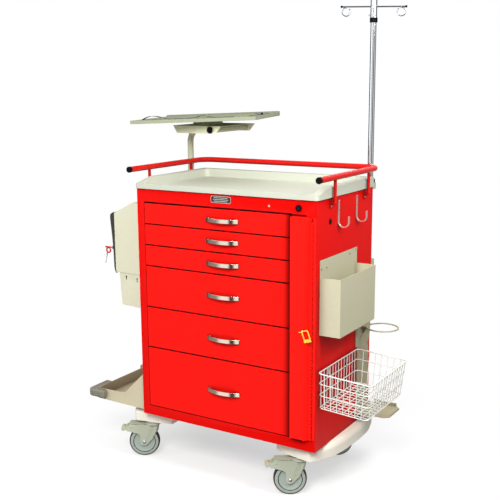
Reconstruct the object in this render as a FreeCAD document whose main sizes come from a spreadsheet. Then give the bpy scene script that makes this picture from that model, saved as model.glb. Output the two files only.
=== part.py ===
import FreeCAD, Part
import math
import os
import re

# Medical crash cart: steel drawer cabinet on a moulded base with four casters,
# moulded worktop, push rail, IV pole, defibrillator shelf, sharps cabinet,
# suction shelf, oxygen bracket, waste bin and wire basket.
# Modelling frame: origin at the front left bottom corner of the steel cabinet,
# +X right, +Y back, +Z up, millimetres.  Every finished node is then placed
# by (shift_x, shift_y, shift_z) so that the row origin is on the floor under the middle.

V = FreeCAD.Vector
doc = FreeCAD.newDocument("crash_cart")
sheet = doc.addObject("Spreadsheet::Sheet", "dims")

CELLS = [
    # placing of the model in its row frame
    ("shift_x", -352.55), ("shift_y", -339.1042), ("shift_z", 210.0),
    # cabinet
    ("cab_w", 779.0), ("cab_d", 473.0), ("cab_ht", 919.0), ("wall", 2.0),
    ("open_l", 33.0), ("open_r", 682.0), ("open_b", 39.0), ("open_t", 866.5),
    ("liner_l", 25.0), ("liner_r", 690.0),
    # drawers: one 9.75 in, two 6.5 in and three 3.25 in modules
    ("module", 82.55), ("seam", 1.9), ("front_th", 18.0), ("skin", 1.5),
    ("box_l", 40.5), ("box_r", 674.5), ("box_back", 438.0), ("box_drop", 24.0),
    ("slide_len", 430.0), ("slide_ht", 30.0), ("fixed_ht", 36.0),
    # bow handle
    ("bow_x", 390.0), ("bow_chord", 143.0), ("bow_rise", 25.0), ("bow_ht", 15.0), ("bow_th", 4.5),
    # worktop
    ("top_over", 6.0), ("top_z", 919.0), ("top_rim", 956.0), ("top_floor", 924.0), ("top_lip", 938.0),
    ("rim_w", 30.0), ("lip_w", 20.0),
    # push rail
    ("rail_r", 11.0), ("rail_z", 991.0), ("rail_off", 17.0), ("rail_front", -15.0), ("rail_back", 490.0),
    ("rail_bend", 52.0), ("post_r", 6.0), ("post_y1", 105.0), ("post_y2", 393.0),
    # base and casters
    ("base_ht", 54.0), ("base_mid", 340.0), ("skin_b", 4.0), ("tube_w", 40.0), ("frame_b", -44.0),
    ("king_l", -8.0), ("king_r", 682.0), ("king_f", 70.0), ("king_b", 480.0),
    ("trail", 37.5), ("wheel_r", 63.5), ("wheel_z", -146.5), ("tread", 32.0), ("hub_r", 45.0),
    ("fork_r", 33.0), ("fork_top", -59.0), ("fork_cap", 13.0), ("pin_r", 6.0), ("pin_clear", 0.05),
    ("axle_r", 5.0), ("fork_half", 23.0), ("fork_th", 3.0), ("swivel", 211.75),
    # break-away bar
    ("bar_l", 684.0), ("bar_r", 752.0), ("bar_b", 44.0), ("bar_t", 860.0), ("bar_proud", 18.0),
    ("hinge_x", 763.0), ("hinge_y", -4.5), ("knuckle_r", 3.2), ("knuckle", 12.7), ("hpin_r", 1.5),
    # IV pole
    ("iv_x", 750.0), ("iv_y", 514.0), ("iv_r", 11.25), ("iv_bore", 9.6), ("iv_bot", 545.0), ("iv_tube_top", 1585.0),
    ("rod_r", 9.5), ("rod_bot", 960.0), ("rod_top", 1615.0), ("sleeve_r", 12.7), ("sleeve_bot", 1533.0),
    ("sleeve_top", 1622.0), ("hook_z", 1591.0), ("hook_half", 126.0), ("hook_r", 3.0), ("eye_off", 104.0),
    ("eye_r", 16.4), ("eye_wire", 2.4), ("hook_turn", 31.7),
    # defibrillator shelf
    ("dp_x", -46.0), ("dp_y", 433.0), ("dp_r", 12.7), ("dp_bot", 600.0), ("dp_arm", 1129.0), ("dp_bend", 60.0),
    ("cross_x", 146.0), ("br_f", 300.0), ("br_b", 566.0), ("br_top", 1144.5),
    ("pl_x", 54.0), ("pl_y", 420.0), ("pl_w", 519.0), ("pl_d", 440.0), ("pl_bot", 1163.0), ("pl_ht", 14.0), ("pl_turn", 17.0), ("pl_tilt", 2.06),
    # waste bin
    ("bin_f", 27.0), ("bin_b", 329.0), ("bin_bot", 436.0), ("bin_top", 645.0), ("bin_out", 80.0), ("plate_top", 706.0), ("sheet_t", 2.0),
    # oxygen bracket
    ("ox_x", 863.7), ("ox_y", 401.0), ("ox_z", 384.0), ("ox_r", 56.2), ("ox_band", 6.3), ("ox_ht", 4.0), ("ox_plate_t", 3.0),
    # wire basket
    ("bk_out", 212.1), ("bk_f", 3.0), ("bk_b", 343.0), ("bk_rim", 305.0), ("bk_bot", 168.7), ("bk_t", 2.4), ("bk_gap", 4.6),
    # sharps cabinet
    ("sc_f", 50.0), ("sc_b", 250.0), ("sc_out", 161.0), ("sc_bot", 561.0), ("sc_top", 850.0), ("sc_t", 2.0),
    # suction shelf
    ("su_out", 245.0), ("su_f", 6.0), ("su_b", 440.0), ("su_t", 2.0),
]
ALIAS = {}
for row, (alias, value) in enumerate(CELLS, 1):
    sheet.set("A%d" % row, alias)
    sheet.set("B%d" % row, str(value))
    sheet.setAlias("B%d" % row, alias)
    ALIAS[alias] = value
doc.recompute()

G = {a: float(sheet.get(a)) for a in ALIAS}
_name = re.compile(r"[A-Za-z_][A-Za-z_0-9]*")


def expr(e):
    """A number or a formula of cell aliases, as an expression on the sheet."""
    if isinstance(e, (int, float)):
        return repr(float(e))
    return _name.sub(lambda m: "dims." + m.group(0) if m.group(0) in ALIAS else m.group(0), e)


def val(e):
    """The number that a formula of cell aliases gives."""
    if isinstance(e, (int, float)):
        return float(e)
    total = 0.0
    for sign, term in re.findall(r"([+-]?)\s*([A-Za-z_0-9.*/ ]+)", e):
        p = 1.0
        for op, factor in re.findall(r"([*/]?)\s*([A-Za-z_0-9.]+)", term.strip()):
            f = G[factor] if factor in G else float(factor)
            p = p / f if op == "/" else p * f
        total += -p if sign == "-" else p
    return total


def setp(o, prop, e):
    o.setExpression(prop, expr(e))


def at(o, x, y, z):
    setp(o, "Placement.Base.x", x)
    setp(o, "Placement.Base.y", y)
    setp(o, "Placement.Base.z", z)
    return o


def box(x0, x1, y0, y1, z0, z1):
    o = doc.addObject("Part::Box", "block")
    setp(o, "Length", "(%s) - (%s)" % (x1, x0))
    setp(o, "Width", "(%s) - (%s)" % (y1, y0))
    setp(o, "Height", "(%s) - (%s)" % (z1, z0))
    return at(o, x0, y0, z0)


ROT = {"z": FreeCAD.Rotation(), "x": FreeCAD.Rotation(V(0, 1, 0), 90), "y": FreeCAD.Rotation(V(1, 0, 0), -90)}


def cyl(r, h, x, y, z, axis="z"):
    o = doc.addObject("Part::Cylinder", "round")
    setp(o, "Radius", r)
    setp(o, "Height", h)
    o.Placement = FreeCAD.Placement(V(0, 0, 0), ROT[axis])
    return at(o, x, y, z)


def cone(r1, r2, h, x, y, z, axis="z"):
    o = doc.addObject("Part::Cone", "taper")
    setp(o, "Radius1", r1)
    setp(o, "Radius2", r2)
    setp(o, "Height", h)
    o.Placement = FreeCAD.Placement(V(0, 0, 0), ROT[axis])
    return at(o, x, y, z)


def ball(r, x, y, z):
    o = doc.addObject("Part::Sphere", "ball")
    setp(o, "Radius", r)
    return at(o, x, y, z)


def fuse(*parts):
    if len(parts) == 1:
        return parts[0]
    o = doc.addObject("Part::MultiFuse", "join")
    o.Shapes = list(parts)
    o.Refine = True
    return o


def cut(base, *tools):
    o = doc.addObject("Part::Cut", "cut")
    o.Base = base
    o.Tool = tools[0] if len(tools) == 1 else fuse(*tools)
    return o


def common(*parts):
    o = doc.addObject("Part::MultiCommon", "common")
    o.Shapes = list(parts)
    return o


def group(*parts):
    o = doc.addObject("Part::Compound", "group")
    o.Links = list(parts)
    return o


def rounded(base, radius, pick):
    """Part::Fillet on the edges that pick(edge) chooses."""
    doc.recompute()
    o = doc.addObject("Part::Fillet", "rounded")
    o.Base = base
    r = val(radius)
    o.Edges = [(i, r, r) for i, e in enumerate(base.Shape.Edges, 1) if pick(e)]
    return o


def upright(e):
    a, b = e.Vertexes[0].Point, e.Vertexes[-1].Point
    return len(e.Vertexes) == 2 and abs(a.x - b.x) < 1e-6 and abs(a.y - b.y) < 1e-6


def prism(plane, pts, start, length, arcs=None):
    """PartDesign body: a closed sketch in XY, XZ or YZ, padded by length.
    pts may hold (x, y) corners; arcs maps a corner's index to its radius."""
    body = doc.addObject("PartDesign::Body", "profile_body")
    sk = body.newObject("Sketcher::SketchObject", "profile")
    role = {"XY": "XY_Plane", "XZ": "XZ_Plane", "YZ": "YZ_Plane"}[plane]
    base = [f for f in body.Origin.OriginFeatures if f.Role == role][0]
    sk.AttachmentSupport = [(base, "")]
    sk.MapMode = "FlatFace"
    # the XZ plane's normal is -Y: its sketch offset is measured that way
    setp(sk, "AttachmentOffset.Base.z", start if plane != "XZ" else "0 - (%s)" % start)
    p = [V(val(a), val(b), 0) for a, b in pts]
    arcs = arcs or {}
    n = len(p)
    ends = []
    for i in range(n):
        if i in arcs:
            a = (p[i - 1] - p[i]).normalize()
            b = (p[(i + 1) % n] - p[i]).normalize()
            half = a.getAngle(b) / 2
            d = arcs[i] / math.tan(half)
            s, e = p[i] + a * d, p[i] + b * d
            c = p[i] + (a + b).normalize() * (arcs[i] / math.sin(half))
            m = c + (p[i] - c).normalize() * arcs[i]
            ends.append((s, m, e))
        else:
            ends.append((p[i], None, p[i]))
    for i in range(n):
        s, m, e = ends[i]
        if m is not None:
            sk.addGeometry(Part.Arc(s, m, e), False)
        nxt = ends[(i + 1) % n][0]
        if (nxt - e).Length > 1e-6:
            sk.addGeometry(Part.LineSegment(e, nxt), False)
    pad = body.newObject("PartDesign::Pad", "pad")
    pad.Profile = sk
    setp(pad, "Length", length)
    pad.Reversed = plane == "XZ"
    body.Tip = pad
    return body


def path_wire(pts, radii):
    """Straight runs joined by tangent arcs; radii[i] belongs to corner i."""
    p = [V(*q) for q in pts]
    edges, last = [], p[0]
    for i in range(1, len(p) - 1):
        a = (p[i - 1] - p[i]).normalize()
        b = (p[i + 1] - p[i]).normalize()
        half = a.getAngle(b) / 2
        d = radii[i] / math.tan(half)
        s, e = p[i] + a * d, p[i] + b * d
        c = p[i] + (a + b).normalize() * (radii[i] / math.sin(half))
        m = c + (p[i] - c).normalize() * radii[i]
        if (s - last).Length > 1e-6:
            edges.append(Part.LineSegment(last, s).toShape())
        edges.append(Part.Arc(s, m, e).toShape())
        last = e
    if (p[-1] - last).Length > 1e-6:
        edges.append(Part.LineSegment(last, p[-1]).toShape())
    return Part.Wire(edges)


def bent_bar(pts, radii, r, bore=0.0):
    """Round bar or tube bent along straight runs and arcs, as a Part::Feature."""
    w = path_wire(pts, radii)
    p0 = V(*pts[0])
    d = (V(*pts[1]) - p0).normalize()
    s = w.makePipeShell([Part.Wire([Part.makeCircle(r, p0, d)])], True, False)
    if bore:
        s = s.cut(w.makePipeShell([Part.Wire([Part.makeCircle(bore, p0, d)])], True, False))
    o = doc.addObject("Part::Feature", "bent_bar")
    o.Shape = s
    return o


def spot(o, angle, x, y, z):
    """Turns an object by angle about +Z and sets its base to (x, y, z)."""
    o.Placement = FreeCAD.Placement(V(0, 0, 0), FreeCAD.Rotation(V(0, 0, 1), angle))
    setp(o, "Placement.Rotation.Angle", angle) if isinstance(angle, str) else None
    return at(o, x, y, z)


NODES = []


def node(label, o):
    """A finished piece: labelled, and placed in the row frame."""
    holder = doc.addObject("Part::Compound", "piece")
    holder.Links = [o]
    holder.Label = label
    at(holder, "shift_x", "shift_y", "shift_z")
    NODES.append(holder)
    return holder


# ---------------------------------------------------------------- cabinet
shell_out = box(0, "cab_w", 0, "cab_d", 0, "cab_ht")
shell_in = box("wall", "cab_w - wall", "wall", "cab_d + 5", "wall", "cab_ht - wall")
front_hole = box("open_l", "open_r", -5, "wall + 5", "open_b", "open_t")
lock_hole = cyl(9.1, 12, 708, -5, 889, "y")
plug_hole = cyl(8.0, 12, "cab_w - 6", 104, 833, "x")
dot_hole = cyl(3.0, 12, 590, -5, 889, "y")
body = cut(shell_out, shell_in, front_hole, lock_hole, plug_hole, dot_hole)
liners = [box("liner_l", "liner_l + wall", "wall", "box_back", "wall", "cab_ht - wall"),
          box("liner_r - wall", "liner_r", "wall", "box_back", "wall", "cab_ht - wall"),
          # folded returns round the drawer opening
          box("open_l - wall", "open_l", 0, 16, "open_b", "open_t"),
          box("open_r", "open_r + wall", 0, 16, "open_b", "open_t"),
          box("open_l - wall", "open_r + wall", 0, 16, "open_b - wall", "open_b"),
          box("open_l - wall", "open_r + wall", 0, 16, "open_t", "open_t + wall")]
# slots in the right stile above and below the break-away bar
slots = [box("open_r - 1", 738, -1, "wall + 2", "open_t - 4.5", "open_t"), box(692, 738, -1, "wall + 2", 36.5, 41.5)]
node("cabinet_shell", cut(fuse(body, *liners), *slots))
node("rear_panel", box("wall", "cab_w - wall", "cab_d - wall", "cab_d", "wall", "cab_ht - wall"))

# drawer module lines, from the bottom up
STACK = [3, 2, 2, 1, 1, 1]
lines, level = [], 0
for count in STACK:
    lines.append(level)
    level += count
tops = lines[1:] + [level]
# node names count from the top drawer down
HANDLE_Z = {0: 162.0, 1: 370.0, 2: 536.0, 3: 658.0, 4: 743.0, 5: 822.0}
fixed_rails = []
for i in range(6):
    zlo = "open_b + 0.25 + module*%d" % lines[i] if i else "open_b"
    zhi = "open_b + 0.25 + module*%d" % tops[i]
    z0, z1 = zlo + " + seam", zhi + " - seam"
    number = 6 - i
    pan = cut(box("open_l + 1.5", "open_r - 1.5", 0, "front_th", z0, z1),
              box("open_l + 1.5 + skin", "open_r - 1.5 - skin", "skin", "front_th - skin", z0 + " + skin", z1 + " - skin"),
              box("open_l + 1.5 + skin", "open_r - 1.5 - skin", "front_th - skin - 1", "front_th + 2", z1 + " - 12", z1 + " - skin"))
    tub = cut(box("box_l", "box_r", "front_th - skin", "box_back", z0 + " + 6", z1 + " - box_drop"),
              box("box_l + skin", "box_r - skin", "front_th", "box_back - skin", z0 + " + 6 + skin", z1 + " + 5"))
    sl_z = z0 + " + 14"
    # the drawer's own slide members run along the outside of the tub
    left = box("open_l + 2", "box_l", "box_back - slide_len + 0", "box_back", sl_z, sl_z + " + slide_ht")
    right = box("box_r", "open_r - 2", "box_back - slide_len + 0", "box_back", sl_z, sl_z + " + slide_ht")
    left_t = cut(left, box("open_l + 1", "box_l - 1.5", "box_back - slide_len + 3", "box_back + 1", sl_z + " + 6", sl_z + " + slide_ht - 6"))
    right_t = cut(right, box("box_r + 1.5", "open_r - 1", "box_back - slide_len + 3", "box_back + 1", sl_z + " + 6", sl_z + " + slide_ht - 6"))
    # slide members start behind the front panel
    left_c = cut(left_t, box("open_l", "box_l + 0", -5, "front_th + 0.5", sl_z + " - 5", sl_z + " + slide_ht + 5"))
    right_c = cut(right_t, box("box_r - 0", "open_r", -5, "front_th + 0.5", sl_z + " - 5", sl_z + " + slide_ht + 5"))
    node("drawer_%d" % number, group(fuse(pan, tub), left_c, right_c))
    # bow handle
    hz = HANDLE_Z[i]
    c, s = G["bow_chord"], G["bow_rise"]
    R = c * c / (8 * s) + s / 2
    cy = R - s
    ring = cut(cyl(R, "bow_ht", "bow_x", cy, "%s - bow_ht/2" % hz), cyl("%s - bow_th" % R, "bow_ht + 2", "bow_x", cy, "%s - bow_ht/2 - 1" % hz))
    bow = common(ring, box("bow_x - bow_chord/2", "bow_x + bow_chord/2", "0 - bow_rise - 1", 0, "%s - bow_ht/2" % hz, "%s + bow_ht/2" % hz))
    feet = [box("bow_x - bow_chord/2 - 2", "bow_x - bow_chord/2 + 15", -2.5, 0, "%s - bow_ht/2" % hz, "%s + bow_ht/2" % hz),
            box("bow_x + bow_chord/2 - 15", "bow_x + bow_chord/2 + 2", -2.5, 0, "%s - bow_ht/2" % hz, "%s + bow_ht/2" % hz)]
    node("drawer_%d_handle" % number, fuse(bow, *feet))
    for x0, x1, web0, web1 in (("liner_l + wall", "open_l + 1.6", "liner_l + wall + 1.5", "open_l + 3"),
                               ("open_r - 1.6", "liner_r - wall", "open_r - 3", "liner_r - wall - 1.5")):
        outer = box(x0, x1, 20, "box_back", sl_z + " - 3", sl_z + " - 3 + fixed_ht")
        inner = box(web0, web1, 18, "box_back + 2", sl_z + " - 1.2", sl_z + " - 4.8 + fixed_ht")
        fixed_rails.append(cut(outer, inner))
node("drawer_slide_rails", group(*fixed_rails))

# ---------------------------------------------------------------- worktop
slab = box("0 - top_over", "cab_w + top_over", "0 - top_over", "cab_d + top_over", "top_z", "top_rim")
slab = rounded(slab, 14.0, upright)
well = box("rim_w - top_over", "cab_w + top_over - rim_w", "lip_w - top_over", "cab_d + top_over - rim_w", "top_floor", "top_rim + 5")
well = rounded(well, 18.0, upright)
slope = prism("YZ", [(-20, "top_lip"), (12, "top_lip"), (92, "top_rim + 0.5"), (92, 970), (-20, 970)], -20, "cab_w + 40")
hollows = [box("skin_b - top_over", "rim_w - top_over - skin_b", 100, "cab_d + top_over - skin_b", "top_z - 1", "top_rim - skin_b"),
           box("cab_w + top_over - rim_w + skin_b", "cab_w + top_over - skin_b", 100, "cab_d + top_over - skin_b", "top_z - 1", "top_rim - skin_b"),
           box("rim_w - top_over - 5", "cab_w + top_over - rim_w + 5", "cab_d + top_over - rim_w + skin_b", "cab_d + top_over - skin_b", "top_z - 1", "top_rim - skin_b"),
           box("skin_b + 4 - top_over", "cab_w + top_over - skin_b - 4", "skin_b - top_over", "lip_w - top_over - skin_b", "top_z - 1", "top_lip - skin_b")]
node("worktop_tray", cut(slab, well, slope, *hollows))

# ---------------------------------------------------------------- push rail
xl, xr = -G["rail_off"], G["cab_w"] + G["rail_off"]
yb, yf, rz, rb = G["rail_back"], G["rail_front"], G["rail_z"], G["rail_bend"]
rail = bent_bar([(xl, yf, rz), (xl, yb, rz), (xr, yb, rz), (xr, yf, rz)], [0, rb, rb, 0], G["rail_r"])
legs = []
for side in ("l", "r"):
    x = "0 - rail_off" if side == "l" else "cab_w + rail_off"
    for y in ("post_y1", "post_y2"):
        legs.append(cyl("post_r", "rail_z - 900", x, y, 900))
        legs.append(ball("post_r", x, y, 900))
        fx = "0 - rail_off" if side == "l" else "cab_w"
        legs.append(cyl("post_r", "rail_off", fx, y, 900, "x"))
        px0, px1 = ("-3", "0") if side == "l" else ("cab_w", "cab_w + 3")
        legs.append(box(px0, px1, y + " - 9", y + " + 9", 880, 914))
node("push_rail", fuse(rail, *legs))
caps = []
for x in ("0 - rail_off", "cab_w + rail_off"):
    caps.append(cyl("rail_r + 0.8", 10, x, "rail_front - 10", "rail_z", "y"))
caps.append(fuse(cyl(10.0, 2.0, "cab_w", 104, 833, "x"), cyl(7.9, 8, "cab_w - 7", 104, 833, "x")))
caps.append(cyl("dp_r + 0.6", 5, "cross_x", "br_f - 8", "dp_arm", "y"))
caps.append(cyl("dp_r + 0.6", 5, "cross_x", "br_b + 3", "dp_arm", "y"))
node("end_caps", group(*caps))

# ---------------------------------------------------------------- name plate, lock, indicator
plate = rounded(box(343, 431, -1.6, 0, 885, 911.5), 3.0,
                lambda e: abs(e.Vertexes[0].Point.x - e.Vertexes[-1].Point.x) < 1e-6 and abs(e.Vertexes[0].Point.z - e.Vertexes[-1].Point.z) < 1e-6)
node("name_plate", plate)
node("lock_housing", cut(fuse(cyl(11.5, 4, 708, -4, 889, "y"), cyl(9.0, 24, 708, -1, 889, "y")), cyl(6.55, 20, 708, -6, 889, "y")))
node("lock_plug", cut(cyl(6.5, 18, 708, -4.6, 889, "y"), box(707, 709, -6, -2, 884.5, 893.5)))
node("indicator_light", fuse(cyl(4.0, 1.5, 590, -1.5, 889, "y"), cyl(2.9, 6, 590, -0.5, 889, "y")))

# ---------------------------------------------------------------- wall hooks on the right side
hooks = []
for y in (170.0, 325.0):
    w = G["cab_w"]
    back = box("cab_w", "cab_w + 3", y - 5.5, y + 5.5, 825, 903)
    arc = common(cut(cyl(21.5, 11, "cab_w + 21.5", y - 5.5, 825, "y"), cyl(18.5, 13, "cab_w + 21.5", y - 6.5, 825, "y")),
                 box("cab_w - 1", "cab_w + 50", y - 6, y + 6, 800, 825))
    tip = box("cab_w + 40", "cab_w + 43", y - 5.5, y + 5.5, 825, 846)
    hooks.append(fuse(back, arc, tip))
# two small channels that the basket's own hooks drop into
for y in (100.0, 258.0):
    hooks.append(fuse(box("cab_w", "cab_w + 1", y - 8, y + 8, 272, 296), box("cab_w", "cab_w + 4", y - 8, y + 8, 272, 274),
                      box("cab_w + 2.8", "cab_w + 4", y - 8, y + 8, 272, 296)))
node("wall_hooks", group(*hooks))

# ---------------------------------------------------------------- waste bin
bin_outer = box("cab_w", "cab_w + bin_out", "bin_f", "bin_b", "bin_bot", "bin_top")
bin_inner = box("cab_w + sheet_t", "cab_w + bin_out - sheet_t", "bin_f + sheet_t", "bin_b - sheet_t", "bin_bot + sheet_t", "bin_top + 5")
back_plate = box("cab_w", "cab_w + sheet_t", "bin_f - 1", "bin_b + 3", "bin_bot", "plate_top")
big = [cyl(4.0, 8, "cab_w - 3", 78, 672, "x"), cyl(4.0, 8, "cab_w - 3", 268, 690, "x")]
small = [cyl(2.5, 8, "cab_w - 3", 34, 674, "x"), cyl(2.5, 8, "cab_w - 3", 318, 697, "x")]
node("waste_bin", cut(fuse(cut(bin_outer, bin_inner), back_plate), *(big + small)))

# ---------------------------------------------------------------- oxygen cylinder bracket
plate = prism("YZ", [(333, 312), (349, 304), (349, 44), (454, 44), (454, 303), (470, 345), (470, 430), (333, 430)], "cab_w", "ox_plate_t")
ring = cut(cyl("ox_r + ox_band", "ox_ht", "ox_x", "ox_y", "ox_z - ox_ht/2"), cyl("ox_r", "ox_ht + 2", "ox_x", "ox_y", "ox_z - ox_ht/2 - 1"))
neck = cut(box("cab_w + 1", "ox_x - ox_r + 6", "ox_y - 26", "ox_y + 26", "ox_z - ox_ht/2", "ox_z + ox_ht/2"),
           cyl("ox_r + 0.5", "ox_ht + 2", "ox_x", "ox_y", "ox_z - ox_ht/2 - 1"))
gusset = prism("XZ", [("cab_w + 1", "ox_z - 1"), ("cab_w + 24", "ox_z - 1"), ("cab_w + 1", "ox_z - 42")], "ox_y - 1.2", 2.4)
foot = prism("XY", [("cab_w", 333), (905, 333), (923, 350), (923, 452), (905, 470), ("cab_w", 470)], 44, 3,
             {1: 10, 2: 10, 3: 10, 4: 10})
lip = box(806, 903, 467, 470, 44, 60)
lip2 = box(920.6, 923, 362, 440, 44, 52)
node("oxygen_bracket", fuse(plate, ring, neck, gusset, foot, lip, lip2))

# ---------------------------------------------------------------- base mouldings
RIGHT = [(585, 62), (630, 46), (700, 33), (745, 22), (765, 50), (797, 115), (810, 197), (815, 316), (810, 412), (785, 502), (750, 542), (585, 545)]
ROUND = {1: 40, 2: 60, 3: 14, 4: 60, 5: 160, 6: 300, 7: 300, 8: 200, 9: 60, 10: 30}


def inset(pts, d):
    """A polygon's corners moved inwards by d."""
    n = len(pts)
    area = sum(pts[i][0] * pts[(i + 1) % n][1] - pts[(i + 1) % n][0] * pts[i][1] for i in range(n))
    turn = 1.0 if area > 0 else -1.0
    out = []
    for i in range(n):
        (ax, ay), (bx, by), (cx, cy) = pts[i - 1], pts[i], pts[(i + 1) % n]
        u = V(bx - ax, by - ay, 0).normalize()
        w = V(cx - bx, cy - by, 0).normalize()
        nu, nw = V(-u.y, u.x, 0) * turn, V(-w.y, w.x, 0) * turn
        m = (nu + nw).normalize()
        out.append((bx + m.x * d / max(0.3, m.dot(nu)), by + m.y * d / max(0.3, m.dot(nu))))
    return out


def moulding(mirror):
    pts = [((2 * G["base_mid"] - a) if mirror else a, b) for a, b in RIGHT]
    b = prism("XY", pts, "0 - base_ht", "base_ht", ROUND)
    doc.recompute()
    pad = b.Tip
    fil = b.newObject("PartDesign::Fillet", "shoulder")
    names = []
    for i, e in enumerate(pad.Shape.Edges, 1):
        zs = [v.Point.z for v in e.Vertexes]
        xs = [v.Point.x for v in e.Vertexes]
        inner = 585 if not mirror else 2 * G["base_mid"] - 585
        if min(zs) > -0.01 and not all(abs(x - inner) < 0.01 for x in xs):
            names.append("Edge%d" % i)
    fil.Base = (pad, names)
    fil.Radius = 24.0
    b.Tip = fil
    doc.recompute()
    sx = (lambda a: 2 * G["base_mid"] - a) if mirror else (lambda a: a)

    inside = prism("XY", inset(pts, 16.0), "0 - base_ht - 1", "base_ht + 1 - skin_b")

    def bx(x0, x1, y0, y1):
        a, c = sorted((sx(x0), sx(x1)))
        return box(a, c, y0, y1, "0 - base_ht - 1", "0 - skin_b")
    return cut(b, inside, bx(575, 612, 129, 171), bx(575, 612, 399, 441))


node("base_right_moulding", moulding(False))
node("base_left_moulding", moulding(True))
frame = [box("king_l - tube_w/2 - 8", "king_r + tube_w/2 + 8", 130, "130 + tube_w", "frame_b", "0 - skin_b"),
         box("king_l - tube_w/2 - 8", "king_r + tube_w/2 + 8", 400, "400 + tube_w", "frame_b", "0 - skin_b"),
         box("king_l - tube_w/2", "king_l + tube_w/2", 64, 515, "frame_b", "0 - skin_b"),
         box("king_r - tube_w/2", "king_r + tube_w/2", 64, 515, "frame_b", "0 - skin_b"),
         box(97, 583, 110, 460, "0 - skin_b - 6", 0)]
node("base_frame", fuse(*frame))
pins = []
for x in ("king_l", "king_r"):
    for y in ("king_f", "king_b"):
        pins.append(fuse(cyl("fork_r + 3", 3.5, x, y, "fork_top + 1"), cyl(15, "frame_b - fork_top - 3", x, y, "fork_top + 3"),
                         cyl("pin_r", 20, x, y, "fork_top + 2 - 20"),
                         cyl("pin_r + 3", 4, x, y, "fork_top - fork_cap - 5.5")))
node("caster_kingpins", group(*pins))

# ---------------------------------------------------------------- casters
PROFILE = [(-65, 80), (-64, 66), (-56, 38), (-12, -10), (-4, -15), (8, -15), (16, -6), (16, 30), (38, 41), (72, 50), (76, 56), (62, 74), (50, 82), (10, 80)]


def caster(label, kx, ky, brake):
    # local frame: king pin at the origin, wheel trailing along +x
    cap = cut(cyl("fork_r", "fork_cap", 0, 0, "fork_top - fork_cap"), cyl("pin_r + pin_clear", "fork_cap + 2", 0, 0, "fork_top - fork_cap - 1"))
    plates = []
    prof = PROFILE if brake else [q for q in PROFILE if q[0] < 60] + []
    if not brake:
        prof = [(-65, 80), (-64, 66), (-56, 38), (-12, -10), (-4, -15), (8, -15), (16, -6), (16, 30), (38, 41), (44, 56), (36, 80)]
    pts = [(u + G["trail"], v + G["wheel_z"]) for u, v in prof]
    # the side cheeks stand inside the cap's edge
    for y0 in ("0 - fork_half", "fork_half - fork_th"):
        b = prism("XZ", pts, y0, "fork_th")
        plates.append(b)
    hood = box(-22, 82 if brake else 70, "0 - fork_half", "fork_half", "wheel_z + 77", "wheel_z + 80")
    body = fuse(cap, hood, *plates)
    body = cut(body, cyl("pin_r + pin_clear", "fork_cap + 12", 0, 0, "fork_top - fork_cap - 6"))
    holes = [cyl("axle_r", 60, "trail", -30, "wheel_z", "y")]
    if brake:
        holes.append(cyl(3.05, 60, "trail + 52", -30, "wheel_z + 66", "y"))
    body = cut(body, *holes)
    axle = fuse(cyl("axle_r", "2*fork_half", "trail", "0 - fork_half", "wheel_z", "y"),
                cyl("axle_r + 3.5", 3, "trail", "0 - fork_half - 3", "wheel_z", "y"),
                cyl("axle_r + 3.5", 3, "trail", "fork_half", "wheel_z", "y"))
    g = spot(group(body, axle), G["swivel"], kx, ky, 0)
    node(label + "_fork", g)
    core = cut(fuse(cyl("hub_r", "tread", "trail", "0 - tread/2", "wheel_z", "y"),
                    cyl("axle_r + 6", "2*fork_half - 2*fork_th - 1", "trail", "fork_th - fork_half + 0.5", "wheel_z", "y")),
               cyl("axle_r + pin_clear", 60, "trail", -30, "wheel_z", "y"))
    tyre = cut(cyl("wheel_r", "tread", "trail", "0 - tread/2", "wheel_z", "y"), cyl("hub_r", "tread + 2", "trail", "0 - tread/2 - 1", "wheel_z", "y"))
    tyre = rounded(tyre, 5.0, lambda e: e.Closed and hasattr(e.Curve, "Radius") and abs(e.Curve.Radius - G["wheel_r"]) < 0.01)
    node(label + "_wheel", spot(group(core, tyre), G["swivel"], kx, ky, 0))
    if brake:
        pad = prism("XZ", [(47 + G["trail"], 60 + G["wheel_z"]), (57 + G["trail"], 59 + G["wheel_z"]), (75 + G["trail"], 58 + G["wheel_z"]),
                           (80 + G["trail"], 50 + G["wheel_z"]), (93 + G["trail"], 49 + G["wheel_z"]), (97 + G["trail"], 60 + G["wheel_z"]),
                           (91 + G["trail"], 70 + G["wheel_z"]), (72 + G["trail"], 72 + G["wheel_z"]), (57 + G["trail"], 73 + G["wheel_z"]), (47 + G["trail"], 72 + G["wheel_z"])],
                    -19, 38)
        pin = cyl(3.0, 50, "trail + 52", -25, "wheel_z + 66", "y")
        node(label + "_pedal", spot(fuse(pad, pin), G["swivel"], kx, ky, 0))


caster("front_left", "king_l", "king_f", True)
caster("front_right", "king_r", "king_f", True)
caster("rear_left", "king_l", "king_b", False)
caster("rear_right", "king_r", "king_b", False)

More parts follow.
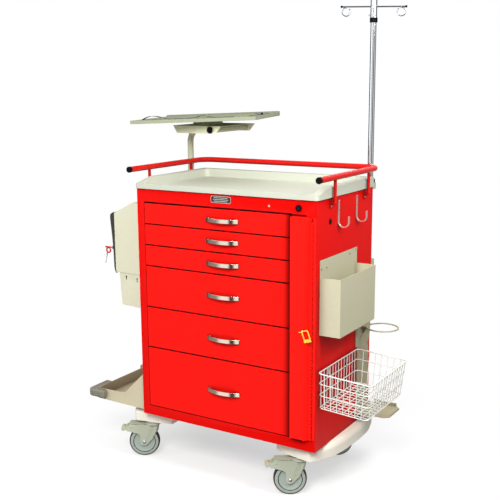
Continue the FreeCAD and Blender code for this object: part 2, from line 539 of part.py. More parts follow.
# ---------------------------------------------------------------- break-away bar and its hinge
channel = cut(prism("XY", [("bar_l", -1), ("bar_l", "0 - bar_proud"), ("bar_r - 14", "0 - bar_proud"), ("bar_r", -3.2), ("bar_r", -1)], "bar_b", "bar_t - bar_b"),
              prism("XY", [("bar_l + wall", 5), ("bar_l + wall", "wall - bar_proud"), ("bar_r - 14.85", "wall - bar_proud"), ("bar_r - 3.8", -4.3), ("bar_r - 3.8", 5)],
                    "bar_b + wall", "bar_t - bar_b - wall - wall"))
leaf_m = box("bar_r - wall", "hinge_x - knuckle_r - 0.3", -3.2, -1.4, "bar_b + 2", "bar_t - 2")
moving, fixed = [], []
count = int((G["bar_t"] - G["bar_b"] - 4) // G["knuckle"])
for k in range(count):
    z0 = "bar_b + 2 + knuckle*%d + 0.15" % k
    hgt = "knuckle - 0.3"
    roll = cut(cyl("knuckle_r", hgt, "hinge_x", "hinge_y", z0), cyl("hpin_r", "knuckle + 2", "hinge_x", "hinge_y", z0 + " - 1")) if k % 2 else cyl("knuckle_r", hgt, "hinge_x", "hinge_y", z0)
    if k % 2:
        tab = cut(box("hinge_x - knuckle_r - 0.5", "hinge_x", -3.2, -1.4, z0, z0 + " + knuckle - 0.3"), cyl("hpin_r + 0.5", "knuckle + 2", "hinge_x", "hinge_y", z0 + " - 1"))
        moving += [roll, tab]
    else:
        tab = box("hinge_x", "hinge_x + knuckle_r + 1", -1.5, 0, z0, z0 + " + knuckle - 0.3")
        fixed += [roll, tab]
node("breakaway_bar", fuse(channel, leaf_m, *moving))
leaf_f = box("hinge_x + knuckle_r + 0.4", "cab_w - 1.5", -1.5, 0, "bar_b + 2", "bar_t - 2")
hpin = cyl("hpin_r - 0.05", "knuckle*%d" % count, "hinge_x", "hinge_y", "bar_b + 2")
node("bar_hinge", fuse(leaf_f, hpin, *fixed))

# plastic padlock seal, closed round a staple on the bar
tag = cut(prism("XZ", [(748, 419), (774, 427), (769, 443), (757, 467), (744, 463), (724, 456), (728, 449), (737, 430)], -28, 4),
          prism("XZ", [(744, 437), (762, 444), (754, 460), (738, 452)], -30, 8))
node("security_seal", fuse(tag, box(731, 737, -25, "0 - bar_proud", 450, 455)))

# ---------------------------------------------------------------- IV pole
node("iv_pole_tube", cut(cyl("iv_r", "iv_tube_top - iv_bot", "iv_x", "iv_y", "iv_bot"), cyl("iv_bore", "iv_tube_top - iv_bot", "iv_x", "iv_y", "iv_bot + 4")))
node("iv_rod", fuse(cyl("rod_r", "rod_top - rod_bot", "iv_x", "iv_y", "rod_bot")))
# sleeve: wide bore over the tube, close bore round the rod
sleeve = cut(cyl("sleeve_r", "sleeve_top - sleeve_bot", "iv_x", "iv_y", "sleeve_bot"),
             cyl("iv_r + 0.1", "iv_tube_top + 6 - sleeve_bot + 1", "iv_x", "iv_y", "sleeve_bot - 1"),
             cyl("rod_r + pin_clear", "rod_top + 0.5 - sleeve_bot", "iv_x", "iv_y", "sleeve_bot"))
button = fuse(cyl(3.2, 9, "iv_x - sleeve_r - 8", "iv_y", 1560, "x"))
# keep the button out of the bore
node("iv_sleeve", fuse(sleeve, cut(button, cyl("iv_r + 1", 40, "iv_x", "iv_y", 1540))))
node("iv_collar", cut(cyl("sleeve_r + 2", 18, "iv_x", "iv_y", "sleeve_bot"), cyl("sleeve_r", 20, "iv_x", "iv_y", "sleeve_bot - 1")))
half, hz, er, ew, off = G["hook_half"], G["hook_z"], G["eye_r"], G["eye_wire"], G["eye_off"]
arms = []
for sgn in (-1, 1):
    a = cut(cyl("hook_r", "hook_half - sleeve_r + 1.5", "sleeve_r - 1.5" if sgn > 0 else "0 - hook_half", 0, 0, "x"), cyl("sleeve_r", 20, 0, 0, -10))
    arms += [a, cyl(4.4, 5, sgn * half - (5 if sgn > 0 else 0), 0, 0, "x")]
    eye = cut(cyl("eye_r + eye_wire", "2*eye_wire", sgn * off, "0 - eye_wire", "0 - eye_r - 5.6", "y"),
              cyl("eye_r - eye_wire", "2*eye_wire + 2", sgn * off, "0 - eye_wire - 1", "0 - eye_r - 5.6", "y"))
    arms += [eye, box(sgn * off - 4, sgn * off + 4, -1.8, 1.8, -6.4, -1)]
node("iv_hook_bar", spot(fuse(*arms), G["hook_turn"], "iv_x", "iv_y", "hook_z"))
# two clamp blocks on plates on the back of the cabinet
clamps = []
for z0, z1 in ((904, 928), (600, 624)):
    blk = rounded(box("iv_x - 20", "iv_x + 20", "iv_y - 19", "iv_y + 19", z0, z1), 12.0, upright)
    arm = box("iv_x - 15", "iv_x + 15", "cab_d", "iv_y - 14", z0, z1 - 10)
    backp = box("iv_x - 27", "cab_w - 2", "cab_d", "cab_d + 3", z0 - 34, z1 - 10)
    clamps.append(cut(fuse(blk, arm, backp), cyl("iv_r", 80, "iv_x", "iv_y", z0 - 30)))
node("iv_pole_brackets", group(*clamps))
# locking ring that screws down on the upper block
ringnut = cut(cyl(16.0, 16, "iv_x", "iv_y", 928.5), cyl("iv_r + pin_clear", 20, "iv_x", "iv_y", 927))
grips = [box("iv_x + 14", "iv_x + 19", "iv_y - 2.5", "iv_y + 2.5", 930, 943), box("iv_x - 19", "iv_x - 14", "iv_y - 2.5", "iv_y + 2.5", 930, 943)]
knob = fuse(ringnut, *grips)
node("iv_clamp_knob", knob)

# ---------------------------------------------------------------- defibrillator shelf
px, py, pz, bend, cx = G["dp_x"], G["dp_y"], G["dp_arm"], G["dp_bend"], G["cross_x"]
post = bent_bar([(px, py, G["dp_bot"]), (px, py, pz), (cx, py, pz)], [0, bend, 0], G["dp_r"])
cross = cyl("dp_r", "br_b - br_f + 6", "cross_x", "br_f - 3", "dp_arm", "y")
stands = [box("dp_x", 0, "dp_y - 12", "dp_y + 12", 858, 882), box("dp_x", 0, "dp_y - 12", "dp_y + 12", 615, 639),
          box(-4, 0, "dp_y - 28", "dp_y + 28", 846, 894), box(-4, 0, "dp_y - 28", "dp_y + 28", 603, 651)]
node("defib_post", fuse(post, cross, *stands))
# channel bracket: flat top, tapered front and back flanges, bored for the cross tube
top = box(-39, 195, "br_f", "br_b", "br_top - 2.4", "br_top")
flange = [(-39, "br_top"), (195, "br_top"), (170, "br_top - 31"), (-20, "br_top - 31")]
fl = [prism("XZ", flange, "br_f", 2.4), prism("XZ", flange, "br_b - 2.4", 2.4)]
turntable = cyl(62, "pl_bot - br_top - 2.5", "pl_x", "pl_y", "br_top")
stud = cyl(9.95, 26, "pl_x", "pl_y", "br_top - 1")
bracket = cut(fuse(top, *fl), cyl("dp_r + 0.05", 400, "cross_x", 250, "dp_arm", "y"))
node("defib_bracket", fuse(bracket, turntable, stud))
# platform: shallow folded pan, turned on its centre stud
w2, d2 = "pl_w/2", "pl_d/2"
pan = cut(box("0 - pl_w/2", "pl_w/2", "0 - pl_d/2", "pl_d/2", 0, "pl_ht"),
          box("2 - pl_w/2", "pl_w/2 - 2", "2 - pl_d/2", "pl_d/2 - 2", -1, "pl_ht - 2"))
hub = cyl(34, "pl_ht - 1", 0, 0, 0)
ridge = box("0 - pl_w/2", "pl_w/2", "pl_d/2 - 2", "pl_d/2", 0, "pl_ht + 6")
slots = [box(224, 230, -185, -147, -5, 30), box(224, 230, 112, 150, -5, 30), box(-230, -224, -185, -147, -5, 30), box(-230, -224, 112, 150, -5, 30)]


def on_shelf(o):
    """Turns about +Z and tips the shelf's own +X end up, about its middle."""
    o.Placement = FreeCAD.Placement(V(0, 0, 0), FreeCAD.Rotation(V(0, 0, 1), G["pl_turn"]) * FreeCAD.Rotation(V(0, 1, 0), -G["pl_tilt"]))
    return at(o, "pl_x", "pl_y", "pl_bot")


node("defib_platform", cut(on_shelf(cut(fuse(pan, hub, ridge), *slots)), cyl(10.0, 28, "pl_x", "pl_y", "pl_bot - 20")))
# webbing straps lying on the platform, through its edge slots
zt = G["pl_ht"]
WAVE = [(-225, 0.0), (-205, 7.0), (-180, 9.5), (-155, 8.0), (-128, 2.0), (-100, 0.2), (-20, 0.2), (10, 3.0), (35, 6.0), (62, 3.0), (90, 0.2), (160, 0.2)]
low = [(a, zt + b + 0.1) for a, b in WAVE]
high = [(a, zt + b + 2.2) for a, b in reversed(WAVE)]
strap_a = prism("XZ", low + high, -182, 25)
loop = fuse(box(214, 238, -150, 118, zt + 0.1, zt + 2.2), box(214, 238, -40, -4, zt + 2, zt + 9))
node("defib_straps", on_shelf(group(strap_a, loop)))

# ---------------------------------------------------------------- sharps cabinet on the left side
outline = [(0, "sc_bot"), (0, "sc_top"), (-69, "sc_top"), (-143, 813), (-161, 803), (-161, "sc_bot")]
inner = [(-2, "sc_bot + 2"), (-2, "sc_top - 2"), (-68.5, "sc_top - 2"), (-142, 811), (-170, 795.5), (-170, "sc_bot + 2")]
case = cut(prism("XZ", outline, "sc_f", "sc_b - sc_f"), prism("XZ", inner, "sc_f + 2", "sc_b - sc_f - 4"))
lower = cut(prism("XZ", [(0, 420), (0, "sc_bot"), (-144, "sc_bot"), (-135, 426)], "sc_f + 2", 148),
            prism("XZ", [(-2, 422), (-2, "sc_bot + 1"), (-142, "sc_bot + 1"), (-133, 428)], "sc_f + 4", 144))
keyholes = [cyl(4.0, 10, -110, 47, 545, "y"), box(-111.8, -108.2, 47, 57, 532, 545), cyl(4.0, 10, -55, 47, 541, "y"), box(-56.8, -53.2, 47, 57, 528, 541)]
cabinet_l = fuse(case, cut(lower, *keyholes))
door_out = [(-161.3, 806), (-170, 805), (-181, 797), (-183, 785), (-176, 715), (-171, 640), (-170, 580), (-166, 564), (-161.3, 556)]
door_in = [(-160, 797), (-168, 795), (-177, 786), (-173, 715), (-168, 640), (-167, 580), (-160, 566)]
door = cut(prism("XZ", door_out, "sc_f", "sc_b - sc_f"), prism("XZ", door_in, "sc_f + 3", "sc_b - sc_f - 6"))
barrel = cyl(7.0, 13, -177, 61, 658, "x")
door = cut(fuse(door, barrel), cyl(3.05, 17, -183, 61, 658, "x"))
pinring = cut(cyl(4.0, 200, -164.5, "sc_b + 4.2", 590), cyl(2.05, 210, -164.5, "sc_b + 4.2", 585))
parts = [common(pinring, box(-175, -155, 240, 270, z0, z0 + 38)) for z0 in (600, 720)]
tabs = [cut(box(-166.5, -162, "sc_b - 1", "sc_b + 2.6", z0, z0 + 38), cyl(2.5, 300, -164.5, "sc_b + 4.2", 560)) for z0 in (600, 720)]
node("sharps_door", fuse(door, *(parts + tabs)))
# the key with its coil and ring hangs from the lock
eye = doc.addObject("Part::Torus", "ring")
setp(eye, "Radius1", 11.5)
setp(eye, "Radius2", 1.6)
eye.Placement = FreeCAD.Placement(V(0, 0, 0), FreeCAD.Rotation(V(1, 0, 0), 90))
at(eye, -206, 61, 645)
key = fuse(cyl(3.0, 58, -224, 61, 658, "x"), cyl(4.5, 22, -224, 61, 658, "x"), eye,
           prism("XZ", [(-206, 636), (-213, 638), (-228, 592), (-222, 590)], 60, 2))
node("sharps_key", key)
hinge_fixed = [fuse(cyl(2.0, 182, -164.5, "sc_b + 4.2", 589)), ]
wings = []
for z0 in (590, 640, 760):
    h = 9.5 if z0 != 640 else 78
    wings.append(cut(cyl(4.0, h, -164.5, "sc_b + 4.2", z0), cyl(1.9, 100, -164.5, "sc_b + 4.2", z0 - 5)))
    wings.append(cut(box(-164.5, -150, "sc_b", "sc_b + 2.2", z0, z0 + h), cyl(2.0, 300, -164.5, "sc_b + 4.2", 560)))

node("sharps_bracket", group(cabinet_l, fuse(hinge_fixed[0], *wings)))

# ---------------------------------------------------------------- suction shelf
gus = [("0 - su_out", 16), (0, 12), (0, 166), (-103, 64), (-178, 62), ("0 - su_out", 60)]
shelf_parts = [prism("XZ", gus, "su_f", "su_t"), prism("XZ", gus, "su_b - su_t", "su_t"),
               box("0 - su_out", "su_t - su_out", "su_f", "su_b", 16, 62),
               prism("XZ", [("0 - su_out", 16), (0, 12), (0, 14), ("0 - su_out", 18)], "su_f", "su_b - su_f"),
               box("0 - su_t", 0, "su_f", "su_b", 12, 166)]
node("suction_shelf", fuse(*shelf_parts))


def bumper(front):
    pts = [(-286, -16), (-200, -16), (-200, 5.8), (-245.2, 5.8), (-245.2, 110), (-286, 110)]
    arcs = {0: 24, 1: 6, 5: 8}
    if not front:
        pts = [(a, 446 - b) for a, b in pts]
    b = prism("XY", pts, 26, 32, arcs)
    return rounded(b, 7.0, lambda e: e.Vertexes and (min(v.Point.z for v in e.Vertexes) > 57.9 or max(v.Point.z for v in e.Vertexes) < 26.1)
                   and not (max(abs(v.Point.x + 245.2) for v in e.Vertexes) < 0.2))


node("suction_bumpers", group(bumper(True), bumper(False)))

# ---------------------------------------------------------------- wire basket, as a thin closed tub
# the wall side hangs upright; the outer side leans in towards the floor and the rim falls outwards
tub = cut(prism("XZ", [("cab_w + bk_gap", "bk_rim"), ("cab_w + bk_out", "bk_rim - 14.1"), ("cab_w + bk_out - 18.2", "bk_bot - 12.9"), ("cab_w + bk_gap", "bk_bot")], "bk_f", "bk_b - bk_f"),
          prism("XZ", [("cab_w + bk_gap + bk_t", "bk_rim + 5"), ("cab_w + bk_out - 2.4", "bk_rim - 9"), ("cab_w + bk_out - 20.6", "bk_bot - 10.3"), ("cab_w + bk_gap + bk_t", "bk_bot + bk_t")],
                "bk_f + bk_t", "bk_b - bk_f - bk_t - bk_t"))
tongues = []
for y in (100.0, 258.0):
    tongues += [box("cab_w + 1.3", "cab_w + 2.5", y - 6, y + 6, 278, 299.2), box("cab_w + 1.3", "cab_w + 6", y - 6, y + 6, 297, 299.2)]
node("wire_basket", fuse(tub, *tongues))

# ---------------------------------------------------------------- fasteners
screws = []
for x, d in (("cab_w + 3", 1), (-3, -1)):
    for y in ("post_y1", "post_y2"):
        screws.append(cyl(3.5, 2, x if d > 0 else -5, y, 888, "x"))
for y, z in ((34, 674), (318, 697)):
    screws.append(cyl(3.6, 1.8, "cab_w + sheet_t", y, z, "x"))
for y in (170.0, 325.0):
    for z in (896, 866):
        screws.append(cyl(2.6, 1.4, "cab_w + 3", y, z, "x"))
for y in (360, 443):
    for z in (90, 300):
        screws.append(cyl(4.0, 2, "cab_w + ox_plate_t", y, z, "x"))
for x in (-264, -228):
    screws.append(cyl(3.5, 1.5, x, -17.5, 40, "y"))
    screws.append(cyl(3.5, 1.5, x, 462, 40, "y"))
for x in (743, "cab_w - 8"):
    screws.append(cyl(3.5, 2, x, "cab_d + 3", 880, "y"))
for z in (200, 450, 700):
    for x in (12, "cab_w - 12"):
        screws.append(cyl(3.5, 1.8, x, "cab_d", z, "y"))
node("fasteners", group(*screws))

# ---------------------------------------------------------------- check and write
doc.recompute()
bad = [o.Name + " " + o.Label for o in doc.Objects if "Invalid" in o.State or "Error" in o.State]
if bad:
    raise SystemExit("failed objects: " + ", ".join(bad))
os.makedirs("parts", exist_ok=True)
for old in os.listdir("parts"):
    if old.endswith(".step"):
        os.remove(os.path.join("parts", old))
total = FreeCAD.BoundBox()
for o in NODES:
    s = o.Shape
    if s.isNull() or not s.isValid() or not s.Solids:
        raise SystemExit("bad shape: " + o.Label)
    loose = sum(x.Volume for x in s.Solids)
    bb = s.optimalBoundingBox() if hasattr(s, "optimalBoundingBox") else s.BoundBox
    total.add(bb)
    s.exportStep("parts/%s.step" % o.Label)
    print("%-22s solids %2d volume %10.0f  box %s" % (o.Label, len(s.Solids), loose,
          " ".join("%.1f" % v for v in (s.BoundBox.XMin, s.BoundBox.XMax, s.BoundBox.YMin, s.BoundBox.YMax, s.BoundBox.ZMin, s.BoundBox.ZMax))))
print(len(NODES), "nodes", "centre", total.Center.x, total.Center.y, "box", total.XMin, total.XMax, total.YMin, total.YMax, total.ZMin, total.ZMax)
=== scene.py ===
import bpy
import bmesh
import math
from mathutils import Matrix, Vector


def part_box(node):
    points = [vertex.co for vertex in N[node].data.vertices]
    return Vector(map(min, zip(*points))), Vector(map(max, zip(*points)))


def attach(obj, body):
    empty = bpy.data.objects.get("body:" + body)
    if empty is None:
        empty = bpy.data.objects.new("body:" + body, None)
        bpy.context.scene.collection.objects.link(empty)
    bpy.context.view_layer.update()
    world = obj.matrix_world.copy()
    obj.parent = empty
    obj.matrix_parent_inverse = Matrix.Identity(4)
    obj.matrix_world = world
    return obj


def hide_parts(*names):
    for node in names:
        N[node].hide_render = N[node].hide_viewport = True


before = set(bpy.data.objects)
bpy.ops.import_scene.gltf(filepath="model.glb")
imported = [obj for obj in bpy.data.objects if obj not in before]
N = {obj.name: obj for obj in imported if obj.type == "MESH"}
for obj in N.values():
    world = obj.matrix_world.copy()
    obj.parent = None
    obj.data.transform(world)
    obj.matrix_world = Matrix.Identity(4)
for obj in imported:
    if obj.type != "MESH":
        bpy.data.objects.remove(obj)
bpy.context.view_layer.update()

# ------------------------------------------------------------------ placing
# The cabinet frame, in mm: origin at the front left bottom corner of the steel cabinet.
_lo, _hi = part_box("cabinet_shell")
OX, OY, OZ = _lo.x, _lo.y, _lo.z


def M(x, y, z):
    return Vector((OX + x / 1000, OY + y / 1000, OZ + z / 1000))


def lin(c):
    out = []
    for v in c:
        v = v / 255.0
        out.append(v / 12.92 if v <= 0.04045 else ((v + 0.055) / 1.055) ** 2.4)
    return (out[0], out[1], out[2], 1.0)


# ------------------------------------------------------------------ materials
def new_mat(name):
    m = bpy.data.materials.new(name)
    m.use_nodes = True
    nt = m.node_tree
    return m, nt, nt.nodes["Principled BSDF"]


def add(nt, kind, **inputs):
    n = nt.nodes.new(kind)
    for k, v in inputs.items():
        if k in n.inputs:
            n.inputs[k].default_value = v
        else:
            setattr(n, k, v)
    return n


def noise(nt, scale, detail=3.0, rough=0.55):
    tc = nt.nodes.get("coord") or nt.nodes.new("ShaderNodeTexCoord")
    tc.name = "coord"
    n = nt.nodes.new("ShaderNodeTexNoise")
    n.inputs["Scale"].default_value = scale
    n.inputs["Detail"].default_value = detail
    n.inputs["Roughness"].default_value = rough
    nt.links.new(tc.outputs["Object"], n.inputs["Vector"])
    return n


def ramp(nt, src, a, b, lo=0.0, hi=1.0):
    r = nt.nodes.new("ShaderNodeMapRange")
    r.inputs["From Min"].default_value = lo
    r.inputs["From Max"].default_value = hi
    r.inputs["To Min"].default_value = a
    r.inputs["To Max"].default_value = b
    nt.links.new(src, r.inputs["Value"])
    return r.outputs["Result"]


def tint(nt, src, c1, c2):
    x = nt.nodes.new("ShaderNodeMix")
    x.data_type = "RGBA"
    x.inputs[6].default_value = c1
    x.inputs[7].default_value = c2
    nt.links.new(src, x.inputs[0])
    return x.outputs[2]


def bump(nt, b, src, strength, dist):
    n = nt.nodes.new("ShaderNodeBump")
    n.inputs["Strength"].default_value = strength
    n.inputs["Distance"].default_value = dist
    nt.links.new(src, n.inputs["Height"])
    nt.links.new(n.outputs["Normal"], b.inputs["Normal"])
    return n


def painted_crevice_shade(nt, colour_socket, reach, dark):
    """Painted shade: base colour darkened by ambient occlusion where two parts meet closely."""
    ao = nt.nodes.new("ShaderNodeAmbientOcclusion")
    ao.samples = 12
    ao.inputs["Distance"].default_value = reach
    k = ramp(nt, ao.outputs["AO"], 0.0, 1.0, 0.25, 0.97)
    x = nt.nodes.new("ShaderNodeMix")
    x.data_type = "RGBA"
    x.blend_type = "MULTIPLY"
    x.inputs[0].default_value = 1.0
    nt.links.new(colour_socket, x.inputs[6])
    nt.links.new(tint(nt, k, dark, (1, 1, 1, 1)), x.inputs[7])
    return x.outputs[2]


def edge_wear(nt, colour_socket, worn, amount):
    """Slightly lighter worn edges, from the surface's own pointiness, broken up by noise."""
    g = nt.nodes.new("ShaderNodeNewGeometry")
    e = ramp(nt, g.outputs["Pointiness"], 0.0, 1.0, 0.53, 0.62)
    nz = noise(nt, 60.0, 4.0)
    k = nt.nodes.new("ShaderNodeMath")
    k.operation = "MULTIPLY"
    nt.links.new(e, k.inputs[0])
    nt.links.new(nz.outputs["Fac"], k.inputs[1])
    k2 = nt.nodes.new("ShaderNodeMath")
    k2.operation = "MULTIPLY"
    k2.inputs[1].default_value = amount
    nt.links.new(k.outputs[0], k2.inputs[0])
    x = nt.nodes.new("ShaderNodeMix")
    x.data_type = "RGBA"
    nt.links.new(k2.outputs[0], x.inputs[0])
    nt.links.new(colour_socket, x.inputs[6])
    x.inputs[7].default_value = worn
    return x.outputs[2]


def powder(name, rgb, rough=0.38, peel=0.10, spec=0.5, vary=0.05, scale=900.0, coat=0.0, red=False, painted_shade=None, shade_x=None):
    """Powder coat: fine orange peel, faint cloudiness in tone and gloss, lighter edges, painted shade in crevices."""
    m, nt, b = new_mat(name)
    c = lin(rgb)
    dark = tuple(v * (1 - vary) for v in c[:3]) + (1,)
    lite = tuple(min(1, v * (1 + vary)) for v in c[:3]) + (1,)
    cloud = noise(nt, 5.0, 4.0)
    col = tint(nt, cloud.outputs["Fac"], dark, lite)
    worn = tuple(min(1, v * 1.15 + 0.03) for v in c[:3]) + (1,)
    col = edge_wear(nt, col, worn, 0.6 if not red else 0.25)
    # painted shade: how far the crevice darkening reaches and its darkest colour
    reach, dark_ = painted_shade or ((0.042, (0.16, 0.08, 0.08, 1)) if red else (0.03, (0.45, 0.42, 0.38, 1)))
    col = painted_crevice_shade(nt, col, reach, dark_)
    if shade_x:
        # shade on the drawer fronts beside the proud bar
        g = nt.nodes.new("ShaderNodeNewGeometry")
        sx = nt.nodes.new("ShaderNodeSeparateXYZ")
        nt.links.new(g.outputs["Position"], sx.inputs[0])
        k = ramp(nt, sx.outputs["X"], 0.0, 1.0, M(shade_x[0], 0, 0).x, M(shade_x[1], 0, 0).x)
        k.node.interpolation_type = "SMOOTHSTEP"
        e = nt.nodes.new("ShaderNodeMath")
        e.operation = "POWER"
        nt.links.new(k, e.inputs[0])
        e.inputs[1].default_value = 2.0
        x = nt.nodes.new("ShaderNodeMix")
        x.data_type = "RGBA"
        x.blend_type = "MULTIPLY"
        x.inputs[0].default_value = 1.0
        nt.links.new(col, x.inputs[6])
        nt.links.new(tint(nt, e.outputs[0], (1, 1, 1, 1), (0.10, 0.04, 0.04, 1)), x.inputs[7])
        col = x.outputs[2]
    nt.links.new(col, b.inputs["Base Color"])
    fine = noise(nt, 140.0, 3.0)
    nt.links.new(ramp(nt, fine.outputs["Fac"], rough - 0.04, rough + 0.05), b.inputs["Roughness"])
    grain = noise(nt, scale, 2.0)
    bump(nt, b, grain.outputs["Fac"], peel, 0.0006)
    b.inputs["Specular IOR Level"].default_value = spec
    if red:
        b.inputs["Specular Tint"].default_value = (1.0, 0.22, 0.18, 1)
    b.inputs["Coat Weight"].default_value = coat
    b.inputs["Coat Roughness"].default_value = 0.25
    return m


def moulded(name, rgb, rough=0.5, grain=0.18, vary=0.03, scale=1500.0, spec=0.4, sss=0.0):
    """Moulded plastic: fine pebble grain with slight tone drift."""
    m, nt, b = new_mat(name)
    c = lin(rgb)
    dark = tuple(v * (1 - vary) for v in c[:3]) + (1,)
    lite = tuple(min(1, v * (1 + vary)) for v in c[:3]) + (1,)
    cloud = noise(nt, 7.0, 5.0)
    nt.links.new(tint(nt, cloud.outputs["Fac"], dark, lite), b.inputs["Base Color"])
    vor = nt.nodes.new("ShaderNodeTexVoronoi")
    vor.inputs["Scale"].default_value = scale
    nt.links.new(nt.nodes["coord"].outputs["Object"], vor.inputs["Vector"])
    bump(nt, b, vor.outputs["Distance"], grain, 0.0004)
    scuff = noise(nt, 30.0, 6.0, 0.7)
    nt.links.new(ramp(nt, scuff.outputs["Fac"], rough - 0.06, rough + 0.08), b.inputs["Roughness"])
    b.inputs["Specular IOR Level"].default_value = spec
    if sss:
        b.inputs["Subsurface Weight"].default_value = sss
        b.inputs["Subsurface Radius"].default_value = (0.004, 0.003, 0.002)
    return m


def metal(name, rgb, rough, brush=0.0, axis=(1, 1, 40)):
    """Plated or brushed metal: roughness streaks along one axis and faint tone drift."""
    m, nt, b = new_mat(name)
    c = lin(rgb)
    b.inputs["Metallic"].default_value = 1.0
    tc = nt.nodes.new("ShaderNodeTexCoord")
    tc.name = "coord"
    mp = nt.nodes.new("ShaderNodeMapping")
    mp.inputs["Scale"].default_value = axis
    nt.links.new(tc.outputs["Object"], mp.inputs["Vector"])
    n = nt.nodes.new("ShaderNodeTexNoise")
    n.inputs["Scale"].default_value = 60.0
    n.inputs["Detail"].default_value = 5.0
    nt.links.new(mp.outputs["Vector"], n.inputs["Vector"])
    nt.links.new(ramp(nt, n.outputs["Fac"], max(0.02, rough - 0.06), rough + 0.10), b.inputs["Roughness"])
    dark = tuple(v * 0.86 for v in c[:3]) + (1,)
    nt.links.new(tint(nt, n.outputs["Fac"], dark, c), b.inputs["Base Color"])
    if brush:
        bump(nt, b, n.outputs["Fac"], brush, 0.0004)
    return m


def webbing(name, rgb):
    m, nt, b = new_mat(name)
    c = lin(rgb)
    tc = nt.nodes.new("ShaderNodeTexCoord")
    tc.name = "coord"
    w = nt.nodes.new("ShaderNodeTexWave")
    w.inputs["Scale"].default_value = 260.0
    w.inputs["Distortion"].default_value = 1.5
    w.bands_direction = "X"
    nt.links.new(tc.outputs["Object"], w.inputs["Vector"])
    w2 = nt.nodes.new("ShaderNodeTexWave")
    w2.inputs["Scale"].default_value = 320.0
    w2.bands_direction = "Y"
    nt.links.new(tc.outputs["Object"], w2.inputs["Vector"])
    mx = nt.nodes.new("ShaderNodeMath")
    mx.operation = "MAXIMUM"
    nt.links.new(w.outputs["Fac"], mx.inputs[0])
    nt.links.new(w2.outputs["Fac"], mx.inputs[1])
    nt.links.new(tint(nt, mx.outputs[0], tuple(v * 0.5 for v in c[:3]) + (1,), tuple(min(1, v * 1.8 + 0.01) for v in c[:3]) + (1,)), b.inputs["Base Color"])
    bump(nt, b, mx.outputs[0], 0.6, 0.0006)
    b.inputs["Roughness"].default_value = 0.85
    b.inputs["Sheen Weight"].default_value = 0.3
    return m


def smoke(name):
    m, nt, b = new_mat(name)
    n = noise(nt, 9.0, 3.0)
    nt.links.new(tint(nt, n.outputs["Fac"], (0.024, 0.026, 0.021, 1), (0.038, 0.040, 0.033, 1)), b.inputs["Base Color"])
    s = noise(nt, 220.0, 4.0)
    nt.links.new(ramp(nt, s.outputs["Fac"], 0.06, 0.20), b.inputs["Roughness"])
    b.inputs["Specular IOR Level"].default_value = 0.6
    b.inputs["Alpha"].default_value = 1.0
    return m


